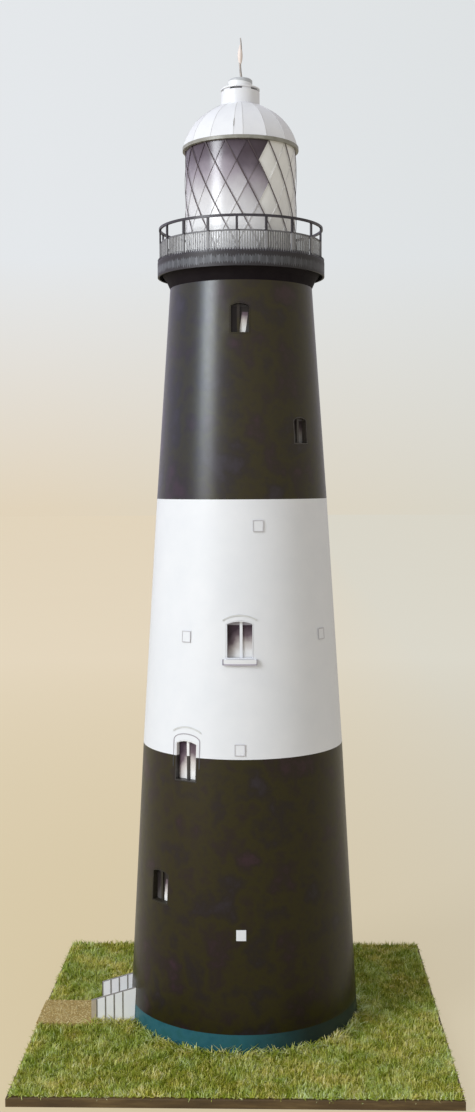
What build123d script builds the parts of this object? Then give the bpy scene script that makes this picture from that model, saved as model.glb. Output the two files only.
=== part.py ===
"""A banded card-model lighthouse on its display board.

Millimetres, +Z up. The origin is the tower's axis on the board's underside. Azimuths are in degrees,
counted from -Y (the front) towards +X.
"""
from build123d import *
import math
import os

os.makedirs("parts", exist_ok=True)

# ---------------------------------------------------------------- driving dimensions
# display board, with its grass mat and path
board_width = 100.0
board_depth = 98.0
board_middle = (-0.9, -1.0)
board_thickness = 2.0
grass_depth = 1.6
grass_margin = 1.0
path_width = 14.6
path_offset = -4.2
path_depth = 0.9
path_reach = 15.4
ground_gap = 0.2

# tower wall: four stacked tubes of two-ply card
tower_base_radius = 28.6
tower_top_radius = 17.44
tower_swell = 0.52
tower_wall = 0.6
plinth_height = 5.2
lower_height = 64.0
middle_height = 60.5
upper_height = 51.3

# windows: openings with a low arched head, smaller towards the top
lower_window_width = 6.2
lower_window_height = 8.1
lower_window_rise = 28.0
lower_back_rise = 36.8
line_window_height = 9.8
line_window_drop = 5.9
middle_window_width = 6.5
middle_window_height = 9.1
middle_window_rise = 23.3
middle_back_drop = 15.7
upper_window_width = 4.8
upper_window_height = 7.4
upper_window_drop = 12.6
upper_back_drop = 21.0
side_window_height = 6.6
side_window_rise = 12.9
window_head_rise = 0.9
window_depth = 2.2
window_card = 0.25
window_recess = 1.4
pane_thickness = 0.35
mullion_width = 0.65
mullion_depth = 0.4
mullion_shifts = {"middle_front": 0.3, "upper_front": -0.4, "lower_left": -0.4}
seat_gap = 0.05
glue_gap = 0.02
sill_overhang = 0.8
sill_height = 1.3
sill_projection = 0.8
hood_rise = 1.2
hood_half_width = 4.0
hood_lift = -0.2
line_hood_lift = 1.7
hood_width = 0.35
hood_thickness = 0.15

# square ventilation plates
vent_width = 2.3
vent_height = 2.5
vent_thickness = 0.15
low_vent_rise = 23.2
line_vent_rise = 2.2
ring_vent_rise = 28.2
ring_vent_azimuths = (-33.4, 56.0, 146.0, -124.0)
high_vent_drop = 6.2

# entrance: a door behind the left-hand edge, reached by shallow steps between two block walls
door_azimuth = -98.0
door_width = 6.0
door_height = 12.0
door_head_rise = 1.2
door_depth = 1.6
door_recess = 0.6
door_leaf = 0.5
stair_offset = -4.0
stair_width = 12.0
stair_wall = 0.8
stair_far_length = 36.2
stair_near_length = 37.4
stair_wall_height = 6.3
stair_wall_slope = 0.3
step_count = 4
step_rise = 0.62
step_going = 2.15

# gallery
corbel_height = 5.6
corbel_knee_height = 1.7
corbel_knee_radius = 18.2
corbel_flare_height = 3.4
corbel_radius = 19.3
deck_thickness = 0.6
fascia_radius = 20.5
fascia_thickness = 0.4
fascia_height = 3.4
rail_post_count = 18
rail_turn = -1.3
post_width = 0.55
post_thickness = 0.4
post_setback = 0.05
handrail_height = 8.5
handrail_size = 0.55
mid_rail_top = 5.05
mid_rail_height = 0.35
bottom_rail_lift = 0.2
bottom_rail_height = 0.3
rail_thickness = 0.3
picket_spaces = 11
picket_width = 0.28
picket_thickness = 0.24

# lantern
lantern_radius = 13.4
lantern_wall = 0.6
lantern_height = 27.2
lantern_bar_count = 16
lantern_bar_twist = 2.3
lantern_bars_left_start = 2.8
lantern_bars_right_start = 13.3
lantern_bar_width = 0.22
lantern_bar_thickness = 0.12
lantern_bar_spans = 8
eave_radius = 14.2
eave_height = 0.8
eave_width = 1.3

# dome and ventilator
dome_radius = 13.9
dome_rise = 10.8
dome_gores = 15
dome_wall = 0.5
closing_strip_angle = 9.2
closing_strip_azimuth = -0.8
drum_radius = 4.7
drum_height = 3.4
drum_wall = 0.7
neck_radius = 4.4
neck_wall = 0.4
neck_height = 0.5
neck_slots = 5
neck_slot_angle = 42.0
neck_slot_azimuth = -14.0
collar_radius = 4.75
collar_height = 0.3
cap_radius = 2.95
cap_height = 2.35
cap_crown = 0.3
rod_radius = 0.28
rod_height = 10.1
vane_length = 1.0
vane_height = 2.9
vane_thickness = 0.25
vane_drop = 3.0
vane_knee = 1.4

# ---------------------------------------------------------------- levels worked out from them
board_top = board_thickness
tower_wall_height = plinth_height + lower_height + middle_height + upper_height
plinth_top = board_top + plinth_height
lower_top = plinth_top + lower_height
middle_top = lower_top + middle_height
upper_top = middle_top + upper_height
corbel_top = upper_top + corbel_height
deck_top = corbel_top + deck_thickness
lantern_top = deck_top + lantern_height
eave_top = lantern_top + eave_height
dome_bend = (dome_radius ** 2 + dome_rise ** 2) / (2 * dome_rise)
dome_middle = eave_top + dome_rise - dome_bend
drum_bottom = dome_middle + math.sqrt(dome_bend ** 2 - drum_radius ** 2)
drum_top = drum_bottom + drum_height
neck_top = drum_top + neck_height
collar_top = neck_top + collar_height
cap_top = collar_top + cap_height
rod_top = cap_top + rod_height
door_sill = board_top + step_count * step_rise

# windows and vents: name, azimuth, sill level, width and height (those at the back repeat the others)
windows = [
    ("lower_left", -47.4, plinth_top + lower_window_rise, lower_window_width, lower_window_height),
    ("band_line", -31.5, lower_top - line_window_drop, lower_window_width, line_window_height),
    ("middle_front", -0.2, lower_top + middle_window_rise, middle_window_width, middle_window_height),
    ("upper_right", 46.3, middle_top + side_window_rise, upper_window_width, side_window_height),
    ("upper_front", 0.4, upper_top - upper_window_drop, upper_window_width, upper_window_height),
    ("lower_back", 150.0, plinth_top + lower_back_rise, lower_window_width, lower_window_height),
    ("middle_back", 180.0, middle_top - middle_back_drop, middle_window_width, middle_window_height),
    ("upper_back", 180.0, upper_top - upper_back_drop, upper_window_width, upper_window_height),
]
vents = [(0.2, plinth_top + low_vent_rise), (180.0, plinth_top + low_vent_rise),
         (-0.2, lower_top + line_vent_rise), (180.0, lower_top + line_vent_rise),
         (11.4, middle_top - high_vent_drop)]
for vent_azimuth in ring_vent_azimuths:
    vents.append((vent_azimuth, lower_top + ring_vent_rise))


# ---------------------------------------------------------------- shared geometry
tower_joints = [board_top, plinth_top, lower_top, middle_top, upper_top]


def swelling_radius(level):
    """Straight taper from foot to top, with a slight outward swell between them."""
    t = (level - board_top) / tower_wall_height
    return tower_base_radius + (tower_top_radius - tower_base_radius) * t + 4 * tower_swell * t * (1 - t)


def tower_radius(level):
    """Outer radius of the wall, which is a straight cone between each pair of joints."""
    low, high = tower_joints[0], tower_joints[1]
    for joint in tower_joints[2:]:
        if level > high:
            low, high = high, joint
    share = (level - low) / (high - low)
    return swelling_radius(low) + (swelling_radius(high) - swelling_radius(low)) * share


def radial_plane(azimuth, level):
    """Upright plane through the tower's axis, facing outwards at an azimuth."""
    a = math.radians(azimuth)
    return Plane(origin=(0, 0, level), x_dir=(math.cos(a), math.sin(a), 0),
                 z_dir=(math.sin(a), -math.cos(a), 0))


def wall_points(low, high, stand_off):
    """Points of the tower's face between two levels, moved outwards by stand_off."""
    levels = [low] + [joint for joint in tower_joints if low < joint < high] + [high]
    return [(tower_radius(level) + stand_off, level) for level in levels]


def tower_tube(low, high, stand_off, thickness):
    """Tube that follows the tower's face; its outer side stands off that face by stand_off."""
    outside = wall_points(low, high, stand_off)
    inside = wall_points(low, high, stand_off - thickness)
    with BuildPart() as tube:
        with BuildSketch(Plane.XZ):
            with BuildLine():
                Polyline(*outside, *reversed(inside), close=True)
            make_face()
        revolve(axis=Axis.Z)
    return tube.part


def tower_core(low, high, stand_off):
    """Filled form of the tower between two levels, grown by stand_off."""
    with BuildPart() as core:
        with BuildSketch(Plane.XZ):
            with BuildLine():
                Polyline(*wall_points(low, high, stand_off), (0, high), (0, low), close=True)
            make_face()
        revolve(axis=Axis.Z)
    return core.part


def arched_outline(plane, width, height, rise, insets=(0,)):
    """Upright shape with a segmental head, its sill on the plane's X axis; a second inset hollows it."""
    spring = height - rise
    with BuildSketch(plane) as outline:
        for index, inset in enumerate(insets):
            half = width / 2 - inset
            with BuildLine():
                ThreePointArc((-half, spring), (0, height - inset), (half, spring))
                Polyline((-half, spring), (-half, inset), (half, inset), (half, spring))
            make_face(mode=Mode.SUBTRACT if index else Mode.ADD)
    return outline.sketch


def arched_cut(azimuth, sill, width, height, rise):
    """Radial prism that cuts an arched opening through the tower wall."""
    with BuildPart() as cutter:
        extrude(arched_outline(radial_plane(azimuth, sill), width, height, rise),
                amount=tower_base_radius + sill_projection)
    return cutter.part


def reveal_ring(azimuth, sill, width, height, rise, depth):
    """Card reveal that lines an arched opening, its front edge flush with the tower's face."""
    front = tower_radius(sill + height / 2)
    back_plane = radial_plane(azimuth, sill).offset(front - depth)
    with BuildPart() as ring:
        extrude(arched_outline(back_plane, width, height, rise, (seat_gap, seat_gap + window_card)),
                amount=depth + sill_projection)
        add(tower_core(board_top, corbel_top, 0), mode=Mode.INTERSECT)
    return ring.part


def finish(piece, name):
    """Label a finished piece and write it to its own file."""
    piece.part.label = name
    export_step(piece.part, f"parts/{name}.step")


# ---------------------------------------------------------------- display board
stair_near_face = stair_offset - stair_width / 2
stair_far_face = stair_offset + stair_width / 2
flight_width = stair_width - stair_wall

with BuildPart() as stair_footprint:
    with BuildSketch(Plane.XY.offset(board_top)):
        with Locations((-stair_near_length / 2, stair_offset - stair_wall / 2)):
            Rectangle(stair_near_length + 2 * ground_gap, flight_width + 2 * ground_gap)
        with Locations((-stair_far_length / 2, stair_offset)):
            Rectangle(stair_far_length + 2 * ground_gap, stair_width + 2 * ground_gap)
    extrude(amount=grass_depth)

with BuildPart() as tower_footprint:
    with BuildSketch(Plane.XY.offset(board_top)):
        Circle(tower_base_radius + ground_gap)
    extrude(amount=grass_depth)

path_middle = (board_middle[0] - board_width / 2 + path_reach / 2, path_offset)

with BuildPart() as baseboard:
    with BuildSketch():
        with Locations(board_middle):
            Rectangle(board_width, board_depth)
    extrude(amount=board_thickness)
    chamfer(baseboard.edges().group_by(Axis.Z)[-1], length=0.2)

with BuildPart() as gravel_path:
    with BuildSketch(Plane.XY.offset(board_top)):
        with Locations(path_middle):
            Rectangle(path_reach, path_width)
    extrude(amount=path_depth)
    add(stair_footprint.part, mode=Mode.SUBTRACT)
    add(tower_footprint.part, mode=Mode.SUBTRACT)

with BuildPart() as grass_mat:
    with BuildSketch(Plane.XY.offset(board_top)):
        with Locations(board_middle):
            Rectangle(board_width - 2 * grass_margin, board_depth - 2 * grass_margin)
        with Locations(path_middle):
            Rectangle(path_reach + 2 * ground_gap, path_width + 2 * ground_gap, mode=Mode.SUBTRACT)
    extrude(amount=grass_depth)
    add(stair_footprint.part, mode=Mode.SUBTRACT)
    add(tower_footprint.part, mode=Mode.SUBTRACT)

finish(baseboard, "baseboard")
finish(gravel_path, "gravel_path")
finish(grass_mat, "grass_mat")

# ---------------------------------------------------------------- tower wall
openings = [arched_cut(door_azimuth, door_sill, door_width, door_height, door_head_rise)]
for _, azimuth, sill, width, height in windows:
    openings.append(arched_cut(azimuth, sill, width, height, window_head_rise))

for name, low, high in zip(("plinth_band", "tower_lower", "tower_middle", "tower_upper"),
                           tower_joints[:-1], tower_joints[1:]):
    with BuildPart() as band:
        add(tower_tube(low, high, 0, tower_wall))
        for opening in openings:
            box = opening.bounding_box()
            if box.min.Z < high and box.max.Z > low:
                add(opening, mode=Mode.SUBTRACT)
    finish(band, name)

# ---------------------------------------------------------------- windows
for name, azimuth, sill, width, height in windows:
    front = tower_radius(sill + height / 2)
    mullion_height = height - 2 * (seat_gap + window_card) + window_card / 2
    with BuildPart() as window_frame:
        add(reveal_ring(azimuth, sill, width, height, window_head_rise, window_depth))
        with BuildSketch(radial_plane(azimuth, sill).offset(front - window_recess)):
            with Locations((mullion_shifts.get(name, 0), seat_gap + window_card / 2 + mullion_height / 2)):
                Rectangle(mullion_width, mullion_height)
        extrude(amount=mullion_depth)
    finish(window_frame, f"window_frame_{name}")

pane_inset = 2 * seat_gap + window_card
with BuildPart() as window_panes:
    for _, azimuth, sill, width, height in windows:
        front = tower_radius(sill + height / 2)
        pane_plane = radial_plane(azimuth, sill).offset(front - window_recess)
        extrude(arched_outline(pane_plane, width, height, window_head_rise, (pane_inset,)),
                amount=-pane_thickness)
finish(window_panes, "window_panes")

cut_reach = tower_base_radius + sill_projection
with BuildPart() as window_sills:
    for name, azimuth, sill, width, height in windows:
        if "middle" in name:
            with BuildSketch(radial_plane(azimuth, sill)):
                with Locations((0, -sill_height / 2)):
                    Rectangle(width + 2 * sill_overhang, sill_height)
            extrude(amount=cut_reach)
    add(tower_tube(lower_top, middle_top, glue_gap + sill_projection, sill_projection), mode=Mode.INTERSECT)
finish(window_sills, "window_sills")

with BuildPart() as window_hoods:
    for name, azimuth, sill, width, height in windows:
        if "middle" in name or name == "band_line":
            half = hood_half_width
            lift = line_hood_lift if name == "band_line" else hood_lift
            with BuildSketch(radial_plane(azimuth, sill + height + lift)):
                with BuildLine():
                    crown = hood_rise + hood_width
                    lower = ThreePointArc((-half, 0), (0, hood_rise), (half, 0))
                    upper = ThreePointArc((-half, hood_width), (0, crown), (half, hood_width))
                    Line(lower @ 0, upper @ 0)
                    Line(lower @ 1, upper @ 1)
                make_face()
            extrude(amount=cut_reach)
    add(tower_tube(lower_top, middle_top, glue_gap + hood_thickness, hood_thickness), mode=Mode.INTERSECT)
finish(window_hoods, "window_hoods")

with BuildPart() as vent_plates:
    for azimuth, middle in vents:
        with BuildSketch(radial_plane(azimuth, middle)):
            Rectangle(vent_width, vent_height)
        extrude(amount=cut_reach)
    add(tower_tube(board_top, upper_top, glue_gap + vent_thickness, vent_thickness), mode=Mode.INTERSECT)
finish(vent_plates, "vent_plates")

# ---------------------------------------------------------------- entrance and its flight of steps
with BuildPart() as entrance_frame:
    add(reveal_ring(door_azimuth, door_sill, door_width, door_height, door_head_rise, door_depth))
finish(entrance_frame, "entrance_frame")

with BuildPart() as entrance_door:
    door_front = tower_radius(door_sill + door_height / 2)
    door_plane = radial_plane(door_azimuth, door_sill).offset(door_front - door_recess)
    extrude(arched_outline(door_plane, door_width, door_height, door_head_rise, (pane_inset,)),
            amount=-door_leaf)
finish(entrance_door, "entrance_door")

stair_walls = [("stair_wall_near", stair_near_face, stair_near_length),
               ("stair_wall_far", stair_far_face - stair_wall, stair_far_length)]
wall_end = -tower_base_radius / 2
for name, face, length in stair_walls:
    low_end = stair_wall_height + stair_wall_slope * (stair_far_length - length)
    high_end = stair_wall_height + stair_wall_slope * (stair_far_length + wall_end)
    with BuildPart() as wall:
        with BuildSketch(Plane(origin=(0, face, board_top), x_dir=(1, 0, 0), z_dir=(0, -1, 0))):
            with BuildLine():
                Polyline((-length, 0), (-length, low_end), (wall_end, high_end), (wall_end, 0), close=True)
            make_face()
        extrude(amount=-stair_wall)
        add(tower_core(board_top, middle_top, seat_gap), mode=Mode.SUBTRACT)
    finish(wall, name)

with BuildPart() as stair_flight:
    steps = [(-stair_far_length, 0)]
    for step in range(step_count):
        tread_start = -stair_far_length + step * step_going
        steps.append((tread_start, (step + 1) * step_rise))
        steps.append((tread_start + step_going, (step + 1) * step_rise))
    steps[-1] = (wall_end, step_count * step_rise)
    steps.append((wall_end, 0))
    flight_face = stair_near_face + stair_wall + seat_gap
    with BuildSketch(Plane(origin=(0, flight_face, board_top), x_dir=(1, 0, 0), z_dir=(0, -1, 0))):
        with BuildLine():
            Polyline(*steps, close=True)
        make_face()
    extrude(amount=-(stair_width - 2 * (stair_wall + seat_gap)))
    add(tower_core(board_top, middle_top, seat_gap), mode=Mode.SUBTRACT)
finish(stair_flight, "stair_flight")

# ---------------------------------------------------------------- gallery
with BuildPart() as gallery_corbel:
    corbel_face = [(tower_top_radius, upper_top), (corbel_knee_radius, upper_top + corbel_knee_height),
                   (corbel_radius, upper_top + corbel_flare_height), (corbel_radius, corbel_top)]
    corbel_back = [(radius - tower_wall, level) for radius, level in reversed(corbel_face)]
    with BuildSketch(Plane.XZ):
        with BuildLine():
            Polyline(*corbel_face, *corbel_back, close=True)
        make_face()
    revolve(axis=Axis.Z)
finish(gallery_corbel, "gallery_corbel")

deck_radius = fascia_radius - fascia_thickness
with BuildPart() as gallery_deck:
    with BuildSketch(Plane.XY.offset(corbel_top)):
        Circle(deck_radius)
    extrude(amount=deck_thickness)
finish(gallery_deck, "gallery_deck")


def ring(level, outer_radius, width, height):
    """Flat-topped ring, given by its lower level, outer radius, radial width and height."""
    with BuildPart() as hoop:
        with BuildSketch(Plane.XY.offset(level)):
            Circle(outer_radius)
            Circle(outer_radius - width, mode=Mode.SUBTRACT)
        extrude(amount=height)
    return hoop


finish(ring(deck_top - fascia_height, fascia_radius, fascia_thickness, fascia_height), "gallery_fascia")

# posts stand just inside the deck's edge, and the thin rails pass behind them
post_outer = deck_radius - post_setback
post_middle = post_outer - post_thickness / 2
rail_outer = post_outer - post_thickness
rail_middle = rail_outer - rail_thickness / 2
handrail_bottom = deck_top + handrail_height - handrail_size
bottom_rail_level = deck_top + bottom_rail_lift
mid_rail_level = deck_top + mid_rail_top - mid_rail_height
picket_bottom = bottom_rail_level + bottom_rail_height
bay_angle = 360 / rail_post_count

with BuildPart() as gallery_posts:
    with BuildSketch(Plane.XY.offset(deck_top)):
        with PolarLocations(post_middle, rail_post_count, start_angle=rail_turn - 90):
            Rectangle(post_thickness, post_width)
    extrude(amount=handrail_bottom - deck_top)
finish(gallery_posts, "gallery_posts")

handrail_outer = post_middle + handrail_size / 2
finish(ring(handrail_bottom, handrail_outer, handrail_size, handrail_size), "gallery_handrail")
finish(ring(mid_rail_level, rail_outer, rail_thickness, mid_rail_height), "gallery_mid_rail")
finish(ring(bottom_rail_level, rail_outer, rail_thickness, bottom_rail_height), "gallery_bottom_rail")

picket_angle = bay_angle / picket_spaces
with BuildPart() as gallery_pickets:
    with BuildSketch(Plane.XY.offset(picket_bottom)):
        for picket in range(1, picket_spaces):
            first_picket = picket * picket_angle + rail_turn - 90
            with PolarLocations(rail_middle, rail_post_count, start_angle=first_picket):
                Rectangle(picket_thickness, picket_width)
    extrude(amount=mid_rail_level - picket_bottom)
finish(gallery_pickets, "gallery_pickets")

# ---------------------------------------------------------------- lantern
finish(ring(deck_top, lantern_radius, lantern_wall, lantern_height), "lantern_drum")
finish(ring(lantern_top, eave_radius, eave_width, eave_height), "lantern_eave")

# each bar is a flat strip wound round the drum, lofted through stations of a helix; the two hands,
# leaning left and right as they rise, lie in two layers, so that they cross without cutting
bar_run = lantern_height - lantern_bar_width
bar_hands = (
    ("lantern_bars_left", -1, 1, lantern_bars_left_start),
    ("lantern_bars_right", 1, 0, lantern_bars_right_start),
)
for name, hand, layer, start in bar_hands:
    inner_face = lantern_radius + layer * (lantern_bar_thickness + glue_gap) + glue_gap
    sag = 1 / math.cos(math.radians(lantern_bar_twist * bar_run / lantern_bar_spans / 2))
    bar_radius = inner_face * sag + lantern_bar_thickness / 2
    slope = math.radians(lantern_bar_twist) * bar_radius
    with BuildPart() as one_bar:
        for station in range(lantern_bar_spans + 1):
            rise = bar_run * station / lantern_bar_spans
            a = hand * math.radians(lantern_bar_twist) * rise
            outward = Vector(math.sin(a), -math.cos(a), 0)
            along = Vector(hand * slope * math.cos(a), hand * slope * math.sin(a), 1)
            middle = outward * bar_radius + Vector(0, 0, deck_top + lantern_bar_width / 2 + rise)
            with BuildSketch(Plane(origin=middle, x_dir=outward, z_dir=along)):
                Rectangle(lantern_bar_thickness, lantern_bar_width)
        loft(ruled=True)
    with BuildPart() as bars:
        with PolarLocations(0, lantern_bar_count, start_angle=start):
            add(one_bar.part)
    finish(bars, name)

# ---------------------------------------------------------------- dome of curved gores
rim_start = math.degrees(math.asin((eave_top - dome_middle) / dome_bend))
rim_end = math.degrees(math.acos(drum_radius / dome_bend))


def dome_gore(angle):
    """One gore of the dome: a card strip bent over an arc, cut to a wedge of the given angle."""
    half_width = 2 * dome_radius * math.tan(math.radians(angle / 2))
    with BuildPart() as gore:
        with BuildSketch(Plane.XZ):
            with BuildLine():
                outer_skin = CenterArc((0, dome_middle), dome_bend, rim_start, rim_end - rim_start)
                inner_skin = CenterArc((0, dome_middle), dome_bend - dome_wall, rim_start - 3,
                                       rim_end - rim_start + 3)
                Line(outer_skin @ 0, inner_skin @ 0)
                Line(outer_skin @ 1, inner_skin @ 1)
            make_face()
        extrude(amount=dome_radius, both=True)
        with BuildSketch(Plane.XY.offset(eave_top)):
            with BuildLine():
                Polyline((0, 0), (2 * dome_radius, -half_width), (2 * dome_radius, half_width), close=True)
            make_face()
        extrude(amount=dome_rise, mode=Mode.INTERSECT)
    return gore.part


gore_angle = (360 - closing_strip_angle) / dome_gores
first_gore = closing_strip_azimuth - 90 + closing_strip_angle / 2 + gore_angle / 2
with BuildPart() as dome:
    with PolarLocations(0, 1, start_angle=closing_strip_azimuth - 90):
        add(dome_gore(closing_strip_angle))
    with PolarLocations(0, dome_gores, start_angle=first_gore,
                        angular_range=gore_angle * (dome_gores - 1), endpoint=True):
        add(dome_gore(gore_angle))
finish(dome, "dome")

# ---------------------------------------------------------------- ventilator, finial and vane
finish(ring(drum_bottom, drum_radius, drum_wall, drum_height), "ventilator_drum")

with BuildPart() as ventilator_neck:
    slot_edge = 2 * neck_radius * math.tan(math.radians(neck_slot_angle / 2))
    with BuildSketch(Plane.XY.offset(drum_top)):
        Circle(neck_radius)
        Circle(neck_radius - neck_wall, mode=Mode.SUBTRACT)
        with PolarLocations(0, neck_slots, start_angle=neck_slot_azimuth - 90):
            Polygon((0, 0), (2 * neck_radius, -slot_edge), (2 * neck_radius, slot_edge),
                    align=None, mode=Mode.SUBTRACT)
    extrude(amount=neck_height)
finish(ventilator_neck, "ventilator_neck")

with BuildPart() as ventilator_collar:
    with BuildSketch(Plane.XY.offset(neck_top)):
        Circle(collar_radius)
    extrude(amount=collar_height)
finish(ventilator_collar, "ventilator_collar")

with BuildPart() as ventilator_cap:
    with BuildSketch(Plane.XY.offset(collar_top)):
        Circle(cap_radius)
    extrude(amount=cap_height)
    chamfer(ventilator_cap.edges().group_by(Axis.Z)[-1], length=cap_crown)
finish(ventilator_cap, "ventilator_cap")

with BuildPart() as finial_rod:
    with BuildSketch(Plane.XY.offset(cap_top)):
        Circle(rod_radius)
    extrude(amount=rod_height)
finish(finial_rod, "finial_rod")

with BuildPart() as wind_vane:
    vane_top = rod_top - vane_drop
    vane_side = -rod_radius - seat_gap
    with BuildSketch(Plane.XZ.offset(-vane_thickness / 2)):
        with BuildLine():
            Polyline((vane_side, vane_top), (vane_side - vane_length, vane_top - vane_knee),
                     (vane_side, vane_top - vane_height), close=True)
        make_face()
    extrude(amount=vane_thickness)
finish(wind_vane, "wind_vane")
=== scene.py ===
# %% [markdown]
# # A card lighthouse on its grassed board
# The imported model brings every rigid piece at its real size. This lesson dresses it as it looks on the
# bench: printed card, static grass, grit, fine printed lines and a bent wire. It starts by loading the
# frame that every piece has to fit, and keeps its box.
# %% Load the frame
import math
import bmesh
import bpy
from mathutils import Matrix, Vector


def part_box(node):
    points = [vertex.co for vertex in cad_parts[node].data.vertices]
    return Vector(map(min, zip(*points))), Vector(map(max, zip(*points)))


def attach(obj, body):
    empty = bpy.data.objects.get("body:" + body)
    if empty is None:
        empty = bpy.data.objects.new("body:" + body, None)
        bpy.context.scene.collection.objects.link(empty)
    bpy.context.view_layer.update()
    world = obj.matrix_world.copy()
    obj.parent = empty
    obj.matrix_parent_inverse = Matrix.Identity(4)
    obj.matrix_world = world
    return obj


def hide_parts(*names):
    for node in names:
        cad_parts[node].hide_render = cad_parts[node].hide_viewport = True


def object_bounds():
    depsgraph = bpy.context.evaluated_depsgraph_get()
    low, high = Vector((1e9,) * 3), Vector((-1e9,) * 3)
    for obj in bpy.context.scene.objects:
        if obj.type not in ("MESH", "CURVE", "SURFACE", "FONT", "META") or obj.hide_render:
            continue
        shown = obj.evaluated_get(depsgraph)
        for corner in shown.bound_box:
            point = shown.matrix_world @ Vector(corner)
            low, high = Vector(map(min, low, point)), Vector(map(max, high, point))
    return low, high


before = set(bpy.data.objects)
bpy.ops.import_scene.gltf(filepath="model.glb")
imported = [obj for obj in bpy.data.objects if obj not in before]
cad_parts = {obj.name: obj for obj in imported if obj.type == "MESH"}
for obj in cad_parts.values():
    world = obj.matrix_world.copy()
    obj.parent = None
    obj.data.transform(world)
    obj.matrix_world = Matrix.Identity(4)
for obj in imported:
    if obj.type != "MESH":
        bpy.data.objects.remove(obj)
bpy.context.view_layer.update()
cad_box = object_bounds()
MM = 0.001
scene = bpy.context.scene
print("the model is", [round(v / MM, 1) for v in cad_box[1] - cad_box[0]], "mm")

# %% [markdown]
# ## Levels read from the model
# The heights of the bands, the deck and the lantern are read from the boxes of the CAD nodes, not
# typed in, so what hangs on them stays in place when the model is changed.
# %% Read the levels
board_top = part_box("baseboard")[1].z
lower_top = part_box("tower_lower")[1].z
middle_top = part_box("tower_middle")[1].z
deck_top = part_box("gallery_deck")[1].z
lantern_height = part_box("lantern_drum")[1].z - deck_top
print("band lines at", round(lower_top / MM, 1), "and", round(middle_top / MM, 1), "mm")

# %% [markdown]
# ## The camera
# A small model fills the picture only when the lens comes close, which makes the tower taper and
# shows the board from above. The camera stands about 28 cm in front of the board's edge, at a
# little over half the tower's height, and looks down by about three degrees.
# %% Place the camera


def linked(name, data):
    """A new object, linked into the scene."""
    thing = bpy.data.objects.new(name, data)
    scene.collection.objects.link(thing)
    return thing


lens_data = bpy.data.cameras.new("bench_camera")
lens_data.sensor_width = 36.0
lens_data.lens = 43.5
lens_data.clip_start = 0.02
camera = linked("bench_camera", lens_data)
camera_place = Vector((8.05, -334.17, 136.05)) * MM
camera_turn, camera_drop, camera_roll = 1.577, 3.206, -0.234  # degrees
camera.matrix_world = (
    Matrix.Translation(camera_place)
    @ Matrix.Rotation(math.radians(camera_turn), 4, "Z")
    @ Matrix.Rotation(math.radians(90 - camera_drop), 4, "X")
    @ Matrix.Rotation(math.radians(camera_roll), 4, "Z")
)
scene.camera = camera
scene.view_settings.view_transform = "Standard"
print("camera", round(camera_place.length / MM), "mm from the middle of the board")

# %% [markdown]
# ## Nodes without the wiring noise
# Shader trees and geometry trees are both made of nodes, inputs and links. One small helper adds a
# node, sets its values and plugs in whatever is already a socket. The others wrap the few kinds
# that come back all the time: sums, ranges, blends of two colours and the axes of a place.
# %% Helpers for nodes


def add(tree, kind, inputs=None, **settings):
    """One node: settings are its own values, inputs are numbers or sockets to plug in."""
    node = tree.nodes.new(kind)
    for key, value in settings.items():
        setattr(node, key, value)
    for socket, value in (inputs or {}).items():
        if isinstance(value, bpy.types.NodeSocket):
            tree.links.new(value, node.inputs[socket])
        else:
            node.inputs[socket].default_value = value
    return node


def calc(tree, operation, *values):
    """A Math node's result."""
    return add(tree, "ShaderNodeMath", dict(enumerate(values)), operation=operation).outputs[0]


def spread(tree, value, low, high, to_low=0.0, to_high=1.0):
    """Map Range: value from low..high to to_low..to_high, held at its ends."""
    inputs = {"Value": value, 1: low, 2: high, 3: to_low, 4: to_high}
    return add(tree, "ShaderNodeMapRange", inputs).outputs[0]


def blend(tree, share, first, second, blend_type="MIX"):
    """Two colours mixed by share; each is three numbers or a socket."""
    inputs = {0: share}
    for socket, colour in ((6, first), (7, second)):
        inputs[socket] = colour if isinstance(colour, bpy.types.NodeSocket) else (*colour, 1)
    return add(tree, "ShaderNodeMix", inputs, data_type="RGBA", blend_type=blend_type).outputs[2]


def mixed_light(tree, share, first, second):
    """Two shaders mixed by share."""
    return add(tree, "ShaderNodeMixShader", {0: share, 1: first, 2: second}).outputs[0]


def axes(tree, place):
    """The x, y and z of a place."""
    return add(tree, "ShaderNodeSeparateXYZ", {0: place}).outputs


print("node helpers ready")

# %% [markdown]
# ## Soft room light
# The model stands in a plain room by a window. One soft lamp, tall and to the left, does the
# window's work: it puts the bright stripe on the varnished card and lets the right side fall into
# shade. The world fills in, cool from the left and warm from the right. What the camera sees
# of it is a pale wall, cream low down, and the gloss sees a dimmer one; Light Path keeps the three
# apart.
# %% World and lamp
fill_strength, gloss_strength, wall_strength = 0.54, 0.95, 1.0
world = bpy.data.worlds.new("soft_room")
world.use_nodes = True
scene.world = world
room = world.node_tree
room.nodes.clear()
ray = add(room, "ShaderNodeLightPath").outputs
seen = calc(room, "MAXIMUM", ray["Is Camera Ray"], ray["Is Transmission Ray"])
direction = axes(room, add(room, "ShaderNodeTexCoord").outputs["Generated"])
rightward = spread(room, direction[0], -0.7, 0.9)
upward = spread(room, direction[2], -0.02, 0.16)
across = spread(room, direction[0], -0.17, 0.17)
wall_foot = blend(room, across, (0.755, 0.655, 0.500), (0.690, 0.665, 0.580))
wall_head = blend(room, across, (0.780, 0.805, 0.828), (0.730, 0.757, 0.768))
fill, glossed, wall = (
    add(room, "ShaderNodeBackground", {"Color": colour, "Strength": strength}).outputs[0]
    for colour, strength in (
        (blend(room, rightward, (0.93, 0.965, 1.0), (1.0, 0.96, 0.925)), fill_strength),
        (blend(room, rightward, (0.76, 0.73, 0.88), (0.47, 0.455, 0.43)), gloss_strength),
        (blend(room, upward, wall_foot, wall_head), wall_strength)))
unseen = mixed_light(room, ray["Is Glossy Ray"], fill, glossed)
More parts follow.
